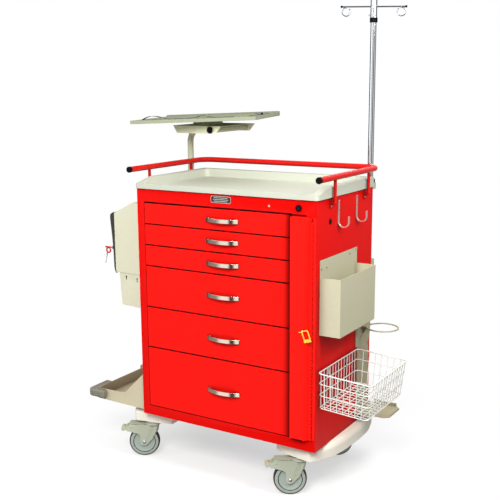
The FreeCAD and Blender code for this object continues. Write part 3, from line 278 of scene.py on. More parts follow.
MAT = {
    "red_front": powder("red_front", (242, 20, 14), 0.34, 0.08, 0.10, 0.03, red=True),
    "red_drawer": powder("red_drawer", (239, 22, 16), 0.34, 0.08, 0.10, 0.03, red=True, shade_x=(628, 681)),
    "red_bar": powder("red_bar", (244, 24, 17), 0.34, 0.08, 0.12, 0.03, red=True, painted_shade=(0.006, (0.5, 0.4, 0.4, 1))),
    # painted shade: a darker copy of the cabinet red standing in for the dimmer light on the side; its wide crevice
    # darkening stands in for the bin's shadow on it
    "red_side": powder("red_side", (216, 10, 6), 0.36, 0.08, 0.07, 0.03, red=True, painted_shade=(0.06, (0.12, 0.06, 0.06, 1))),
    "red_rail": powder("red_rail", (196, 24, 20), 0.20, 0.04, 0.28, 0.03, red=True),
    "tray": moulded("tray", (189, 192, 177), 0.42, 0.15, spec=0.3),
    "base_plastic": moulded("base_plastic", (238, 232, 217), 0.40, 0.15, sss=0.02, spec=0.4),
    "beige_steel": powder("beige_steel", (184, 181, 154), 0.46, 0.20, 0.25, 0.03, 1300.0),
    "olive_steel": powder("olive_steel", (166, 160, 131), 0.46, 0.20, 0.25, 0.03, 1300.0),
    "post_steel": powder("post_steel", (190, 193, 166), 0.44, 0.18, 0.3, 0.03, 1300.0, painted_shade=(0.01, (0.7, 0.7, 0.7, 1))),
    # painted light: a lighter copy of the post steel, brightening the bracket that sits in shade under the platform
    "bracket_steel_lit": powder("bracket_steel_lit", (226, 228, 196), 0.44, 0.18, 0.3, 0.03, 1300.0, painted_shade=(0.01, (0.7, 0.7, 0.7, 1))),
    "shelf_steel": powder("shelf_steel", (144, 149, 125), 0.46, 0.20, 0.15, 0.03, 1300.0),
    # painted shade: a wide brown crevice darkening on the shelf's inside, standing in for its shadow and the red light
    # bounced into it
    "suction_steel": powder("suction_steel", (198, 188, 160), 0.46, 0.20, 0.25, 0.03, 1300.0, painted_shade=(0.16, (0.10, 0.055, 0.04, 1))),
    "cream_steel": powder("cream_steel", (206, 205, 181), 0.46, 0.20, 0.25, 0.03, 1300.0),
    "black_plastic": moulded("black_plastic", (8, 8, 9), 0.42, 0.12, 0.1, spec=0.06),
    "zinc": metal("zinc", (180, 182, 186), 0.34),
    "gunmetal": metal("gunmetal", (44, 40, 54), 0.30),
    "nickel": metal("nickel", (206, 196, 180), 0.11, 0.03, (40, 1, 1)),
    "dark_chrome": metal("dark_chrome", (136, 142, 150), 0.14),
    "chrome": metal("chrome", (200, 203, 208), 0.08),
    "lens": moulded("lens", (214, 172, 150), 0.25, 0.02, 0.02, sss=0.1),
    "hook_steel": metal("hook_steel", (246, 238, 228), 0.40, 0.04),
    "smoke_plastic": smoke("smoke_plastic"),
    "seal_plastic": moulded("seal_plastic", (246, 196, 60), 0.30, 0.04, 0.05, sss=0.1),
    "key_red": moulded("key_red", (205, 24, 24), 0.28, 0.03, 0.05, sss=0.05),
    "bumper": moulded("bumper", (126, 124, 108), 0.55, 0.25, 0.05, spec=0.3),
    "white_wire": powder("white_wire", (222, 223, 217), 0.30, 0.04, 0.4, 0.02),
    "caster_grey": moulded("caster_grey", (176, 182, 162), 0.40, 0.12, 0.05, spec=0.4),
    "caster_tan": moulded("caster_tan", (196, 188, 150), 0.45, 0.12, 0.05),
    "hub_grey": moulded("hub_grey", (160, 172, 164), 0.45, 0.14, 0.05, spec=0.3),
    "tyre_grey": moulded("tyre_grey", (160, 168, 158), 0.55, 0.18, 0.04, spec=0.3),
    "tread_dark": moulded("tread_dark", (52, 46, 46), 0.62, 0.30, 0.08, spec=0.3),
    "webbing": webbing("webbing", (17, 17, 20)),
    "plate_dark": moulded("plate_dark", (40, 24, 24), 0.30, 0.05, 0.1),
    "plate_silver": metal("plate_silver", (214, 212, 206), 0.22, 0.03, (40, 1, 1)),
    "recess": moulded("recess", (70, 6, 6), 0.6, 0.1, 0.1, spec=0.1),
    "deep": moulded("deep", (16, 10, 10), 0.7, 0.1, 0.1, spec=0.1),
    # painted shade: near-black red for the strips set in gaps and along edges where only shade falls
    "painted_gap_shade": moulded("painted_gap_shade", (34, 3, 3), 0.7, 0.1, 0.1, spec=0.05),
}


# ------------------------------------------------------------------ mesh helpers
class Build:
    """Collects faces with material slots, then makes one object."""

    def __init__(self, name):
        self.name, self.bm, self.mats = name, bmesh.new(), []

    def slot(self, mat):
        if mat not in self.mats:
            self.mats.append(mat)
        return self.mats.index(mat)

    def faces(self, verts, faces, mat, smooth=True):
        vs = [self.bm.verts.new(v) for v in verts]
        k = self.slot(mat)
        for f in faces:
            try:
                fc = self.bm.faces.new([vs[i] for i in f])
            except ValueError:
                continue
            fc.material_index = k
            fc.smooth = smooth

    def revolve(self, profile, centre, axis, mat, n=64, closed=False):
        """profile: (radius, height along axis) list. Ends on radius 0 are closed to a point."""
        a = Vector(axis).normalized()
        t = a.cross(Vector((0, 0, 1)) if abs(a.z) < 0.9 else Vector((1, 0, 0))).normalized()
        s = a.cross(t)
        verts, rows = [], []
        for r, h in profile:
            if r < 1e-7:
                rows.append([len(verts)] * n)
                verts.append(centre + a * h)
            else:
                rows.append(list(range(len(verts), len(verts) + n)))
                for k in range(n):
                    w = 2 * math.pi * k / n
                    verts.append(centre + a * h + (t * math.cos(w) + s * math.sin(w)) * r)
        if closed:
            rows.append(rows[0])
        faces = []
        for p, q in zip(rows, rows[1:]):
            for k in range(n):
                j = (k + 1) % n
                f = [p[k], p[j], q[j], q[k]]
                f = [x for i, x in enumerate(f) if x not in f[:i]]
                if len(f) > 2:
                    faces.append(f)
        self.faces(verts, faces, mat)

    def tube(self, pts, r, mat, n=10, closed=False, cap=True, r2=None, flat=None):
        """A round (or flattened) bar along points. flat: (half width, half thickness, width direction)."""
        pts = [Vector(p) for p in pts]
        m = len(pts)
        verts = []
        normal = None
        for i, p in enumerate(pts):
            if closed:
                d = pts[(i + 1) % m] - pts[i - 1]
            else:
                d = pts[min(i + 1, m - 1)] - pts[max(i - 1, 0)]
            d.normalize()
            if flat is not None:
                wdir = Vector(flat[2]).normalized()
                wdir = (wdir - d * wdir.dot(d)).normalized()
                u, v = wdir, d.cross(wdir).normalized()
            else:
                if normal is None:
                    ref = Vector((0, 0, 1)) if abs(d.z) < 0.9 else Vector((1, 0, 0))
                    normal = (ref - d * ref.dot(d)).normalized()
                else:
                    normal = (normal - d * normal.dot(d)).normalized()
                u, v = normal, d.cross(normal).normalized()
            for k in range(n):
                w = 2 * math.pi * k / n
                if flat is not None:
                    cw, sw = math.cos(w), math.sin(w)
                    e = 0.45 if len(flat) < 4 else flat[3]
                    x = math.copysign(abs(cw) ** e, cw) * flat[0]
                    y = math.copysign(abs(sw) ** e, sw) * flat[1]
                    verts.append(p + u * x + v * y)
                else:
                    rr = r if r2 is None else r + (r2 - r) * i / (m - 1)
                    verts.append(p + (u * math.cos(w) + v * math.sin(w)) * rr)
        faces = []
        for i in range(m if closed else m - 1):
            j = (i + 1) % m
            for k in range(n):
                l = (k + 1) % n
                faces.append([i * n + k, i * n + l, j * n + l, j * n + k])
        if cap and not closed:
            c0, c1 = len(verts), len(verts) + 1
            d0 = (pts[0] - pts[1]).normalized()
            d1 = (pts[-1] - pts[-2]).normalized()
            bulge = (flat[1] if flat is not None else r) * 0.5
            verts += [pts[0] + d0 * bulge, pts[-1] + d1 * bulge]
            for k in range(n):
                l = (k + 1) % n
                faces.append([c0, l, k])
                faces.append([c1, (m - 1) * n + k, (m - 1) * n + l])
        self.faces(verts, faces, mat)

    def prism(self, outline, direction, mat, smooth=False):
        """outline: closed list of points; direction: extrusion vector."""
        n = len(outline)
        d = Vector(direction)
        verts = [Vector(p) for p in outline] + [Vector(p) + d for p in outline]
        faces = [list(range(n))[::-1], list(range(n, 2 * n))]
        for i in range(n):
            j = (i + 1) % n
            faces.append([i, j, n + j, n + i])
        self.faces(verts, faces, mat, smooth)

    def block(self, x0, x1, y0, y1, z0, z1, mat):
        self.prism([M(x0, y0, z0), M(x1, y0, z0), M(x1, y1, z0), M(x0, y1, z0)], (0, 0, (z1 - z0) / 1000), mat)

    def done(self, body, replaces=(), bevel=0.0, seg=2, subsurf=0, solid=0.0, angle=32, merge=1e-6):
        bmesh.ops.remove_doubles(self.bm, verts=self.bm.verts, dist=merge)
        bmesh.ops.recalc_face_normals(self.bm, faces=self.bm.faces)
        me = bpy.data.meshes.new(self.name)
        self.bm.to_mesh(me)
        self.bm.free()
        o = bpy.data.objects.new(self.name, me)
        bpy.context.scene.collection.objects.link(o)
        for k in self.mats:
            me.materials.append(MAT[k])
        if solid:
            s = o.modifiers.new("thickness", "SOLIDIFY")
            s.thickness, s.offset = solid, -1
        if bevel:
            b = o.modifiers.new("edges", "BEVEL")
            b.width, b.segments, b.limit_method, b.angle_limit = bevel, seg, "ANGLE", math.radians(angle)
            b.harden_normals = False
        if subsurf:
            s = o.modifiers.new("smooth", "SUBSURF")
            s.levels = s.render_levels = subsurf
        for p in me.polygons:
            p.use_smooth = True
        if not subsurf:
            sharp_edges(me, angle)
        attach(o, body)
        if replaces:
            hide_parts(*replaces)
        return o


def sharp_edges(me, angle):
    bm = bmesh.new()
    bm.from_mesh(me)
    lim = math.radians(angle)
    for e in bm.edges:
        if len(e.link_faces) == 2:
            e.smooth = e.calc_face_angle(0.0) < lim
        else:
            e.smooth = False
    bm.to_mesh(me)
    bm.free()


# ------------------------------------------------------------------ carried-over CAD nodes
def cad(node, mat, bevel=0.0008, seg=2, angle=35):
    o = N[node]
    me = o.data
    for a in list(me.attributes):
        if a.name == "custom_normal":
            me.attributes.remove(a)
    me.materials.clear()
    me.materials.append(MAT[mat])
    for p in me.polygons:
        p.use_smooth = True
        p.material_index = 0
    w = o.modifiers.new("weld", "WELD")
    w.merge_threshold = 0.00002
    d = o.modifiers.new("flat", "DECIMATE")
    d.decimate_type = "DISSOLVE"
    d.angle_limit = math.radians(0.6)
    if bevel:
        b = o.modifiers.new("edges", "BEVEL")
        b.width, b.segments, b.limit_method, b.angle_limit = bevel, seg, "ANGLE", math.radians(angle)
        b.use_clamp_overlap = True
        b.harden_normals = True
    return o


for node, mat, bev in (
    ("cabinet_shell", "red_side", 0.0009), ("rear_panel", "red_side", 0.0006), ("drawer_slide_rails", "zinc", 0.0004), ("worktop_tray", "tray", 0.003),
    ("push_rail", "red_rail", 0.0008), ("end_caps", "black_plastic", 0.0022), ("lock_housing", "black_plastic", 0.001), ("lock_plug", "gunmetal", 0.0006),
    ("indicator_light", "lens", 0.0008), ("wall_hooks", "hook_steel", 0.0011), ("waste_bin", "beige_steel", 0.0009), ("oxygen_bracket", "olive_steel", 0.0009),
    ("base_right_moulding", "base_plastic", 0.002), ("base_left_moulding", "base_plastic", 0.002), ("base_frame", "zinc", 0.002), ("caster_kingpins", "zinc", 0.0008),
    ("breakaway_bar", "red_bar", 0.0009), ("bar_hinge", "red_bar", 0.0003), ("iv_pole_tube", "chrome", 0.0006), ("iv_rod", "chrome", 0.0005),
    ("iv_sleeve", "chrome", 0.0008), ("iv_collar", "black_plastic", 0.002), ("iv_pole_brackets", "beige_steel", 0.0012), ("iv_clamp_knob", "black_plastic", 0.0016),
    ("defib_post", "post_steel", 0.0009), ("defib_bracket", "bracket_steel_lit", 0.0008), ("defib_platform", "shelf_steel", 0.0009), ("sharps_bracket", "cream_steel", 0.0010),
    ("sharps_door", "smoke_plastic", 0.0012), ("suction_shelf", "suction_steel", 0.0009), ("suction_bumpers", "bumper", 0.003), ("fasteners", "zinc", 0.0006),
):
    cad(node, mat, bev)
for i in range(1, 7):
    cad("drawer_%d" % i, "red_drawer", 0.0009)

# ------------------------------------------------------------------ bow handles
HZ = {6: 162.0, 5: 370.0, 4: 536.0, 3: 658.0, 2: 743.0, 1: 822.0}
for i in range(1, 7):
    b = Build("bow_handle_%d" % i)
    z = HZ[i]
    pts = []
    for k in range(33):
        u = -1 + 2 * k / 32
        x = 390 + u * 71.0
        pts.append(M(x, -2.6 - 19.4 * (1 - abs(u) ** 2.3), z))
    b.tube(pts, 0.006, "nickel", n=24, flat=(0.0074, 0.0022, (0, 0, 1), 0.14))
    for s in (-1, 1):
        # spread foot plates
        x = 390 + s * 64.0
        foot = [(x - 8.2, z - 6.8), (x + 8.2, z - 6.8), (x + 8.2, z + 6.8), (x - 8.2, z + 6.8)]
        b.prism([M(a, -2.4, c) for a, c in foot], (0, 0.0024, 0), "nickel")
    b.done("drawer_%d" % i, ["drawer_%d_handle" % i], bevel=0.0007, seg=2, angle=50)

# ------------------------------------------------------------------ name plate: blank, with a plain rim and bars
b = Build("name_plate_blank")
x0, x1, z0, z1 = 343.5, 430.5, 885.5, 911.0


def rounded_rect(x0, x1, z0, z1, r, y, n=8):
    out = []
    for cx, cz, a0 in ((x1 - r, z1 - r, 0), (x0 + r, z1 - r, 90), (x0 + r, z0 + r, 180), (x1 - r, z0 + r, 270)):
        for k in range(n + 1):
            a = math.radians(a0 + 90 * k / n)
            out.append(M(cx + r * math.cos(a), y, cz + r * math.sin(a)))
    return out


b.prism(rounded_rect(x0, x1, z0, z1, 7, 0.0), (0, -0.0010, 0), "plate_silver")
b.prism(rounded_rect(x0 + 2, x1 - 2, z0 + 2, z1 - 2, 5.5, -1.0), (0, -0.0004, 0), "plate_dark")
for k, (w, zz) in enumerate(((30, 904.4), (34, 898.2), (30, 892.0))):
    b.prism(rounded_rect(387 - w, 387 + w, zz - 1.3, zz + 1.3, 1.2, -1.4, 4), (0, -0.0003, 0), "plate_silver")
b.done("cabinet", ["name_plate"], bevel=0.00015, seg=1)

# ------------------------------------------------------------------ wire basket
bk = Build("wire_basket_mesh")
T = math.radians(3.9)
RIM = M(779 + 4.6, 3, 305)


def bp(u, v, w):
    """Basket frame: u out from the wall, v from front to back, w up from the rim (mm)."""
    du, dw = u * math.cos(T) + w * math.sin(T), -u * math.sin(T) + w * math.cos(T)
    return RIM + Vector((du / 1000, v / 1000, dw / 1000))


U, Vv, D = 208.0, 340.0, 136.0
R1, R2 = 0.0023, 0.0016


LEAN = math.tan(T)


def hoop(w, inset, r, mat="white_wire", corner=14):
    pts = []
    near = corner + 2.4 - w * LEAN
    for cu, cv, a0 in ((U - corner - inset, Vv - corner - inset, 0), (near, Vv - corner - inset, 90), (near, corner + inset + 2.4, 180), (U - corner - inset, corner + inset + 2.4, 270)):
        for k in range(7):
            a = math.radians(a0 + 15 * k)
            pts.append(bp(cu + corner * math.cos(a), cv + corner * math.sin(a), w))
    bk.tube(pts, r, mat, n=10, closed=True)


hoop(-2.6, 0.0, R1)
hoop(-42.0, 3.0, R2 + 0.0002)
hoop(-86.0, 6.0, R2 + 0.0002)
hoop(-D + 2, 9.0, R2 + 0.0003)
for k in range(1, 14):
    v = 3 + (Vv - 3) * k / 14
    for side in (0, 1):
        top = bp(2.4, v, -1) if side == 0 else bp(U, v, -1)
        bot = bp(2.4 + (D - 2) * LEAN, v, -D + 2) if side == 0 else bp(U - 9, v, -D + 2)
        bk.tube([top, top.lerp(bot, 0.5), bot], R2, "white_wire", n=8)
    bk.tube([bp(2.4 + D * LEAN, v, -D + 2), bp(U * 0.5, v, -D + 2), bp(U - 9, v, -D + 2)], R2, "white_wire", n=8)
for k in range(1, 8):
    u = 2.4 + (U - 2.4) * k / 8
    ub = 2.4 + D * LEAN + (U - 9 - 2.4 - D * LEAN) * k / 8
    for v0, v1 in ((2.4, 11.4), (Vv, Vv - 9.0)):
        top, bot = bp(u, v0, -1), bp(ub, v1, -D + 2)
        bk.tube([top, top.lerp(bot, 0.5), bot], R2, "white_wire", n=8)
    bk.tube([bp(ub, 12, -D + 4.8), bp(ub, Vv * 0.5, -D + 4.8), bp(ub, Vv - 9, -D + 4.8)], R2, "white_wire", n=8)
for y in (100.0, 258.0):
    # the basket's own hooks, dropped into the wall channels
    for dy in (-4.0, 4.0):
        bk.tube([M(780.9, y + dy, 279), M(780.9, y + dy, 290), M(780.9, y + dy, 297), M(781.6, y + dy, 299.4), M(783.4, y + dy, 300.4), M(786.4, y + dy, 300.8)], 0.0006, "white_wire", n=8)
bk.done("basket", ["wire_basket"], angle=60)

# ------------------------------------------------------------------ hook bar of the IV pole
hb = Build("iv_hooks")
th = math.radians(31.7)
CX, CY, CZ = 750.0, 514.0, 1591.0


def hp(u, w, v=0.0):
    return M(CX + u * math.cos(th) - v * math.sin(th), CY + u * math.sin(th) + v * math.cos(th), CZ + w)


for s in (-1, 1):
    hb.tube([hp(s * 12.0, 0), hp(s * 40, 0), hp(s * 80, 0), hp(s * 118, 0)], 0.0029, "dark_chrome", n=14)
    # ball at the end
    prof = [(0.0043 * math.sin(math.pi * k / 10), -0.0043 * math.cos(math.pi * k / 10)) for k in range(11)]
    prof = [(0.0, -0.0045), (0.0026, -0.0042), (0.0040, -0.0030), (0.0043, -0.0010), (0.0043, 0.0016), (0.0036, 0.0034), (0.0018, 0.0044), (0.0, 0.0045)]
    hb.revolve(prof, hp(s * 121.2, 0), Vector((math.cos(th), math.sin(th), 0)), "black_plastic", 24)
    # open eye welded under the bar
    pts = []
    for k in range(41):
        a = math.radians(90 + s * 6 - s * 322 * k / 40)
        pts.append(hp(s * 104 + 15.6 * math.cos(a), -18.6 + 15.6 * math.sin(a)))
    hb.tube(pts, 0.0020, "dark_chrome", n=12)
    hb.revolve([(0.0, -0.0024), (0.0026, -0.0024), (0.0034, -0.0012), (0.0034, 0.0012), (0.0026, 0.0024), (0.0, 0.0024)], hp(s * 104, -3.4), Vector((0, 0, 1)), "dark_chrome", 18)
hb.done("iv_head", ["iv_hook_bar"], angle=60)

# ------------------------------------------------------------------ security seal
sl = Build("padlock_seal")


def sp(x, z, y):
    return M(x, y, z)


body = [(748, 417), (774, 425), (771, 434.5), (750, 429.5), (745, 425)]
sl.prism([sp(x, z, -24.4) for x, z in body], (0, -0.0032, 0), "seal_plastic")
sl.prism([sp(x, z, -27.5) for x, z in ((751.5, 420), (771, 426.2), (769, 431.6), (751.5, 427))], (0, -0.0005, 0), "seal_plastic")
sl.tube([sp(747.5, 427, -26), sp(742, 441, -26), sp(738, 455, -26), sp(741, 459.5, -26), sp(749, 461.5, -26), sp(757, 463.5, -26), sp(761, 458, -26), sp(765.5, 446, -26), sp(769.5, 432, -26)],
        0.002, "seal_plastic", n=12, flat=(0.0026, 0.0015, (0, 1, 0)))
sl.tube([sp(740, 455.5, -26), sp(733, 454, -26), sp(726, 452.5, -26)], 0.002, "seal_plastic", n=12, flat=(0.0026, 0.0015, (0, 1, 0)))
sl.tube([sp(734, 453, -25), sp(734, 452, -21), sp(734, 451, -18.5)], 0.0016, "nickel", n=10)
sl.tube([sp(734, 459, -18.8), sp(734, 453, -23), sp(734, 446, -23.5), sp(734, 440, -18.8)], 0.0014, "nickel", n=10)
sl.done("bar", ["security_seal"], bevel=0.0006, seg=2, angle=50)

# ------------------------------------------------------------------ sharps key with its coil
kb = Build("key_on_coil")
kb.revolve([(0.0, -0.0008), (0.0024, -0.0005), (0.0030, 0.0006), (0.0030, 0.046), (0.0, 0.0465)], M(-222, 61, 658), Vector((1, 0, 0)), "key_red", 24)
kb.revolve([(0.0030, 0.0), (0.0058, 0.0004), (0.0060, 0.0016), (0.0058, 0.0030), (0.0030, 0.0034)], M(-184, 61, 658), Vector((1, 0, 0)), "nickel", 28)
coil = []
for k in range(30 * 12):
    a, b2 = 2 * math.pi * k / 360, 2 * math.pi * 30 * k / 360
    rr = 10.0 + 2.4 * math.cos(b2)
    coil.append(M(-206 + rr * math.cos(a), 61 + 2.4 * math.sin(b2), 645.5 + rr * math.sin(a)))
kb.tube(coil, 0.0009, "key_red", n=6, closed=True)
core = [M(-206 + 10.0 * math.cos(2 * math.pi * k / 48), 61, 645.5 + 10.0 * math.sin(2 * math.pi * k / 48)) for k in range(48)]
kb.tube(core, 0.0019, "key_red", n=10, closed=True)
kb.prism([M(x, 60.2, z) for x, z in ((-210.5, 634.5), (-214.5, 636.5), (-217.6, 629), (-217, 622), (-219, 614), (-218, 612), (-222, 601), (-221, 599.5), (-227, 591.5), (-222.5, 590.5))],
         (0, 0.0016, 0), "nickel")
kb.done("sharps_key", ["sharps_key"], bevel=0.0003, seg=1, angle=40)

# ------------------------------------------------------------------ webbing straps on the monitor shelf
rz, ry = math.radians(17.0), math.radians(2.06)
SH = Matrix.Translation(M(54, 420, 1163)) @ Matrix.Rotation(rz, 4, "Z") @ Matrix.Rotation(-ry, 4, "Y")


def shelf(x, y, z):
    return SH @ Vector((x / 1000, y / 1000, z / 1000))


def smooth_path(pts, sub=6):
    out = []
    for i in range(len(pts) - 1):
        p0, p1, p2, p3 = pts[max(i - 1, 0)], pts[i], pts[i + 1], pts[min(i + 2, len(pts) - 1)]
        for k in range(sub):
            t = k / sub
            out.append(tuple(0.5 * (2 * b_ + (c_ - a_) * t + (2 * a_ - 5 * b_ + 4 * c_ - d_) * t * t + (3 * b_ - a_ - 3 * c_ + d_) * t ** 3) for a_, b_, c_, d_ in zip(p0, p1, p2, p3)))
    out.append(tuple(pts[-1]))
    return out


def strap(name, pts, half, across, body="defib_shelf"):
    """pts along the strap in the shelf's frame; across: unit vector for its width."""
    path = smooth_path(pts)
    rows = []
    for p in path:
        rows.append([tuple(p[k] + across[k] * w for k in range(3)) for w in (-half, -half * 0.5, 0, half * 0.5, half)])
    bld = Build(name)
    verts = [shelf(*q) for r in rows for q in r]
    faces = []
    for i in range(len(rows) - 1):
        for j in range(4):
            a = i * 5 + j
            faces.append([a, a + 1, a + 6, a + 5])
    bld.faces(verts, faces, "webbing")
    o = bld.done(body, solid=0.0016, angle=70)
    return o


zt = 14.0
s1 = strap("webbing_strap_front", [(-227, -169, zt - 4), (-225.5, -169, zt + 1.2), (-210, -169, zt + 9.0), (-190, -169, zt + 14.2), (-165, -169, zt + 13.6), (-140, -169, zt + 7.6), (-115, -169, zt + 2.0),
                                    (-80, -169, zt + 1.9), (-30, -169, zt + 1.9), (0, -169, zt + 4.0), (22, -169, zt + 9.0), (42, -169, zt + 9.6), (64, -169, zt + 4.2), (90, -169, zt + 1.9),
                                    (140, -169, zt + 1.9), (158, -169, zt + 1.9)], 12.0, (0, 1, 0))
s2 = strap("webbing_strap_right", [(226, -150, zt + 1.9), (226, -110, zt + 1.9), (226, -60, zt + 1.9), (226, -44, zt + 4.5), (226, -30, zt + 9.0), (226, -14, zt + 9.0), (226, 0, zt + 4.5), (226, 14, zt + 1.9),
                                    (226, 60, zt + 1.9), (226, 117, zt + 1.9)], 12.0, (1, 0, 0))
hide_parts("defib_straps")

# ------------------------------------------------------------------ casters
SW = math.radians(211.75)
LX, LY = Vector((math.cos(SW), math.sin(SW), 0)), Vector((-math.sin(SW), math.cos(SW), 0))
KING = {"front_left": (-8, 70), "front_right": (682, 70), "rear_left": (-8, 480), "rear_right": (682, 480)}


def caster(label, brake):
    kx, ky = KING[label]
    base = M(kx, ky, 0)

    def C(u, v, w):
        """u from the kingpin along the trail, v across, w up from the cabinet bottom (mm)."""
        return base + LX * (u / 1000) + LY * (v / 1000) + Vector((0, 0, w / 1000))

    wz, tr = -146.5, 37.5
    centre = C(tr, 0, wz)
    # wheel
    w = Build(label + "_wheel_mesh")
    half = 0.016
    prof = [(0.0052, 0.0188), (0.0095, 0.0188), (0.0115, 0.0172), (0.0125, 0.0150), (0.020, 0.0136), (0.036, 0.0136), (0.0405, 0.0150), (0.0436, 0.0157)]
    # painted shade: the groove and seam rings are near black, standing in for the shade in these recesses
    groove = [(0.0436, 0.0157), (0.0440, 0.0140), (0.0462, 0.0140), (0.0466, 0.0157)]
    band = [(0.0466, 0.0157), (0.0478, 0.0160), (0.0550, 0.0157), (0.0572, 0.0150), (0.0580, 0.0143)]
    seam = [(0.0580, 0.0143), (0.0583, 0.0134), (0.0594, 0.0134), (0.0598, 0.0140)]
    tread = [(0.0598, 0.0140), (0.0612, 0.0132), (0.0622, 0.0118), (0.0632, 0.0075), (0.0635, 0.0)]
    for sgn in (1, -1):
        for part, mat in ((prof, "hub_grey"), (groove, "deep"), (band, "tyre_grey"), (seam, "deep"), (tread, "tread_dark")):
            w.revolve([(r, sgn * h) for r, h in part], centre, LY, mat, 96)
    w.revolve([(0.0052, -0.0188), (0.0052, 0.0188)], centre, LY, "hub_grey", 48)
    w.done(label + "_wheel", [label + "_wheel"], angle=40, merge=2e-6)
    # fork: pressed housing round the swivel head, with two cheeks
    f = Build(label + "_fork_mesh")
    if brake:
        prof = [(10, 80), (-60, 80), (-65, 76), (-64, 60), (-56, 38), (-34, 13), (-12, -10), (-6, -14), (1, -16), (8, -15), (14, -10), (16, -4), (16, 22), (19, 31), (28, 37), (44, 42), (72, 49), (76, 54), (70, 66), (60, 75), (50, 80)]
    else:
        prof = [(10, 80), (-60, 80), (-65, 76), (-64, 60), (-56, 38), (-34, 13), (-12, -10), (-6, -14), (1, -16), (8, -15), (14, -10), (16, -4), (16, 22), (19, 31), (28, 37), (40, 44), (43, 56), (40, 70), (33, 80)]
    for sgn in (-1, 1):
        inner = [C(tr + u + (11 if u < -52 and v_ > 30 else 0), sgn * 20.2, wz + v_) for u, v_ in prof]
        f.prism(inner, LY * (sgn * 0.0026), "caster_grey")
        # two pressed ribs down the cheek
        for u0, u1 in ((-40, -8), (-30, 2)):
            rib = [C(tr + u0 + (u1 - u0) * t + 0, sgn * 22.9, wz + 72 - 84 * t * (0.90 if u0 == -40 else 1.0)) for t in (0.0, 0.12, 0.3, 0.5, 0.7, 0.85, 0.95)]
            f.tube(rib, 0.0016, "caster_grey", n=10, r2=0.0007)
        # axle nut
        f.revolve([(0.0, 0.0275), (0.0030, 0.0275), (0.0040, 0.0262), (0.0058, 0.0255), (0.0072, 0.0240), (0.0078, 0.0226)], C(tr, 0, wz), LY * sgn, "zinc", 24)
        f.revolve([(0.0, 0.0284), (0.0014, 0.0282), (0.0018, 0.0275)], C(tr, 0, wz), LY * sgn, "zinc", 16)
    # rounded nose joining the cheeks at the leading side
    verts, faces = [], []
    nn = 16
    lead = [(-54, 38.5), (-57.5, 46), (-60.5, 60), (-62.0, 70), (-61.5, 77)]
    for layer, rr in ((0, 22.8), (1, 20.2)):
        for u, v_ in lead:
            for k in range(nn + 1):
                a = math.pi * (0.5 + k / nn)
                verts.append(C(tr + u + 14 + 14 * math.cos(a) * (1 if layer == 0 else 0.84), rr * math.sin(a), wz + v_))
    m = len(lead)

    def idx(l, i, k):
        return l * m * (nn + 1) + i * (nn + 1) + k
    for i in range(m - 1):
        for k in range(nn):
            faces.append([idx(0, i, k), idx(0, i, k + 1), idx(0, i + 1, k + 1), idx(0, i + 1, k)])
            faces.append([idx(1, i, k), idx(1, i + 1, k), idx(1, i + 1, k + 1), idx(1, i, k + 1)])
    for k in range(nn):
        faces.append([idx(0, 0, k), idx(1, 0, k), idx(1, 0, k + 1), idx(0, 0, k + 1)])
        faces.append([idx(0, m - 1, k), idx(0, m - 1, k + 1), idx(1, m - 1, k + 1), idx(1, m - 1, k)])
    for i in range(m - 1):
        faces.append([idx(0, i, 0), idx(0, i + 1, 0), idx(1, i + 1, 0), idx(1, i, 0)])
        faces.append([idx(0, i, nn), idx(1, i, nn), idx(1, i + 1, nn), idx(0, i + 1, nn)])
    f.faces(verts, faces, "caster_grey")
    # crown plate under the swivel head, running back over the wheel
    back = 60 if brake else 36
    out = []
    for k in range(25):
        a = math.pi * (0.5 + k / 24)
        out.append((-48 + 14 + 14 * math.cos(a) - 14, 22.8 * math.sin(a)))
    out += [(back, -22.8), (back, 22.8)]
    f.prism([C(tr + u, v_, wz + 76.5) for u, v_ in out], (0, 0, 0.0035), "caster_grey")
    # swivel head: raceway cap, dust ring
    f.revolve([(0.0062, -0.0740), (0.0220, -0.0740), (0.0300, -0.0725), (0.0328, -0.0700), (0.0330, -0.0660), (0.0318, -0.0640), (0.0318, -0.0632), (0.0330, -0.0626), (0.0326, -0.0600), (0.0300, -0.0592), (0.0062, -0.0592)],
              base, (0, 0, 1), "caster_grey", 56)
    f.done(label + "_caster", [label + "_fork"], bevel=0.0009, seg=3, angle=38)
    if brake:
        p = Build(label + "_pedal_mesh")
        arm = [(44, 71), (50, 74.5), (60, 74), (70, 68), (78, 64), (88, 66), (94, 62), (96, 55), (92, 49), (84, 48.5), (78, 52), (68, 57), (57, 60), (48, 62)]
        for v0, v1 in ((-17.5, -9.5), (9.5, 17.5)):
            p.prism([C(tr + u, v0, wz + v_) for u, v_ in arm], LY * ((v1 - v0) / 1000), "caster_grey")
        tread_pts = [(70, 66), (77, 63), (88, 65.5), (94, 62), (96, 55), (92, 49.5), (84, 49), (78, 52.5), (70, 57.5)]
        p.prism([C(tr + u, -9.5, wz + v_) for u, v_ in tread_pts], LY * 0.019, "caster_tan")
        for k in range(4):
            u = 79 + 4 * k
            p.tube([C(tr + u, -15, wz + 65.4 - 0.2 * k * k), C(tr + u, 0, wz + 65.4 - 0.2 * k * k), C(tr + u, 15, wz + 65.4 - 0.2 * k * k)], 0.0008, "caster_tan", n=8)
        p.revolve([(0.0, -0.0248), (0.0026, -0.0246), (0.0029, -0.0238), (0.0029, 0.0238), (0.0026, 0.0246), (0.0, 0.0248)], C(tr + 52, 0, wz + 66), LY, "zinc", 20)
        p.prism([C(tr + u, -9.5, wz + v_) for u, v_ in ((44, 70), (50, 73.5), (58, 73), (58, 61), (48, 62.5))], LY * 0.019, "deep")
        p.done(label + "_brake", [label + "_pedal"], bevel=0.0010, seg=3, angle=38)


for lab in KING:
    caster(lab, lab.startswith("front"))

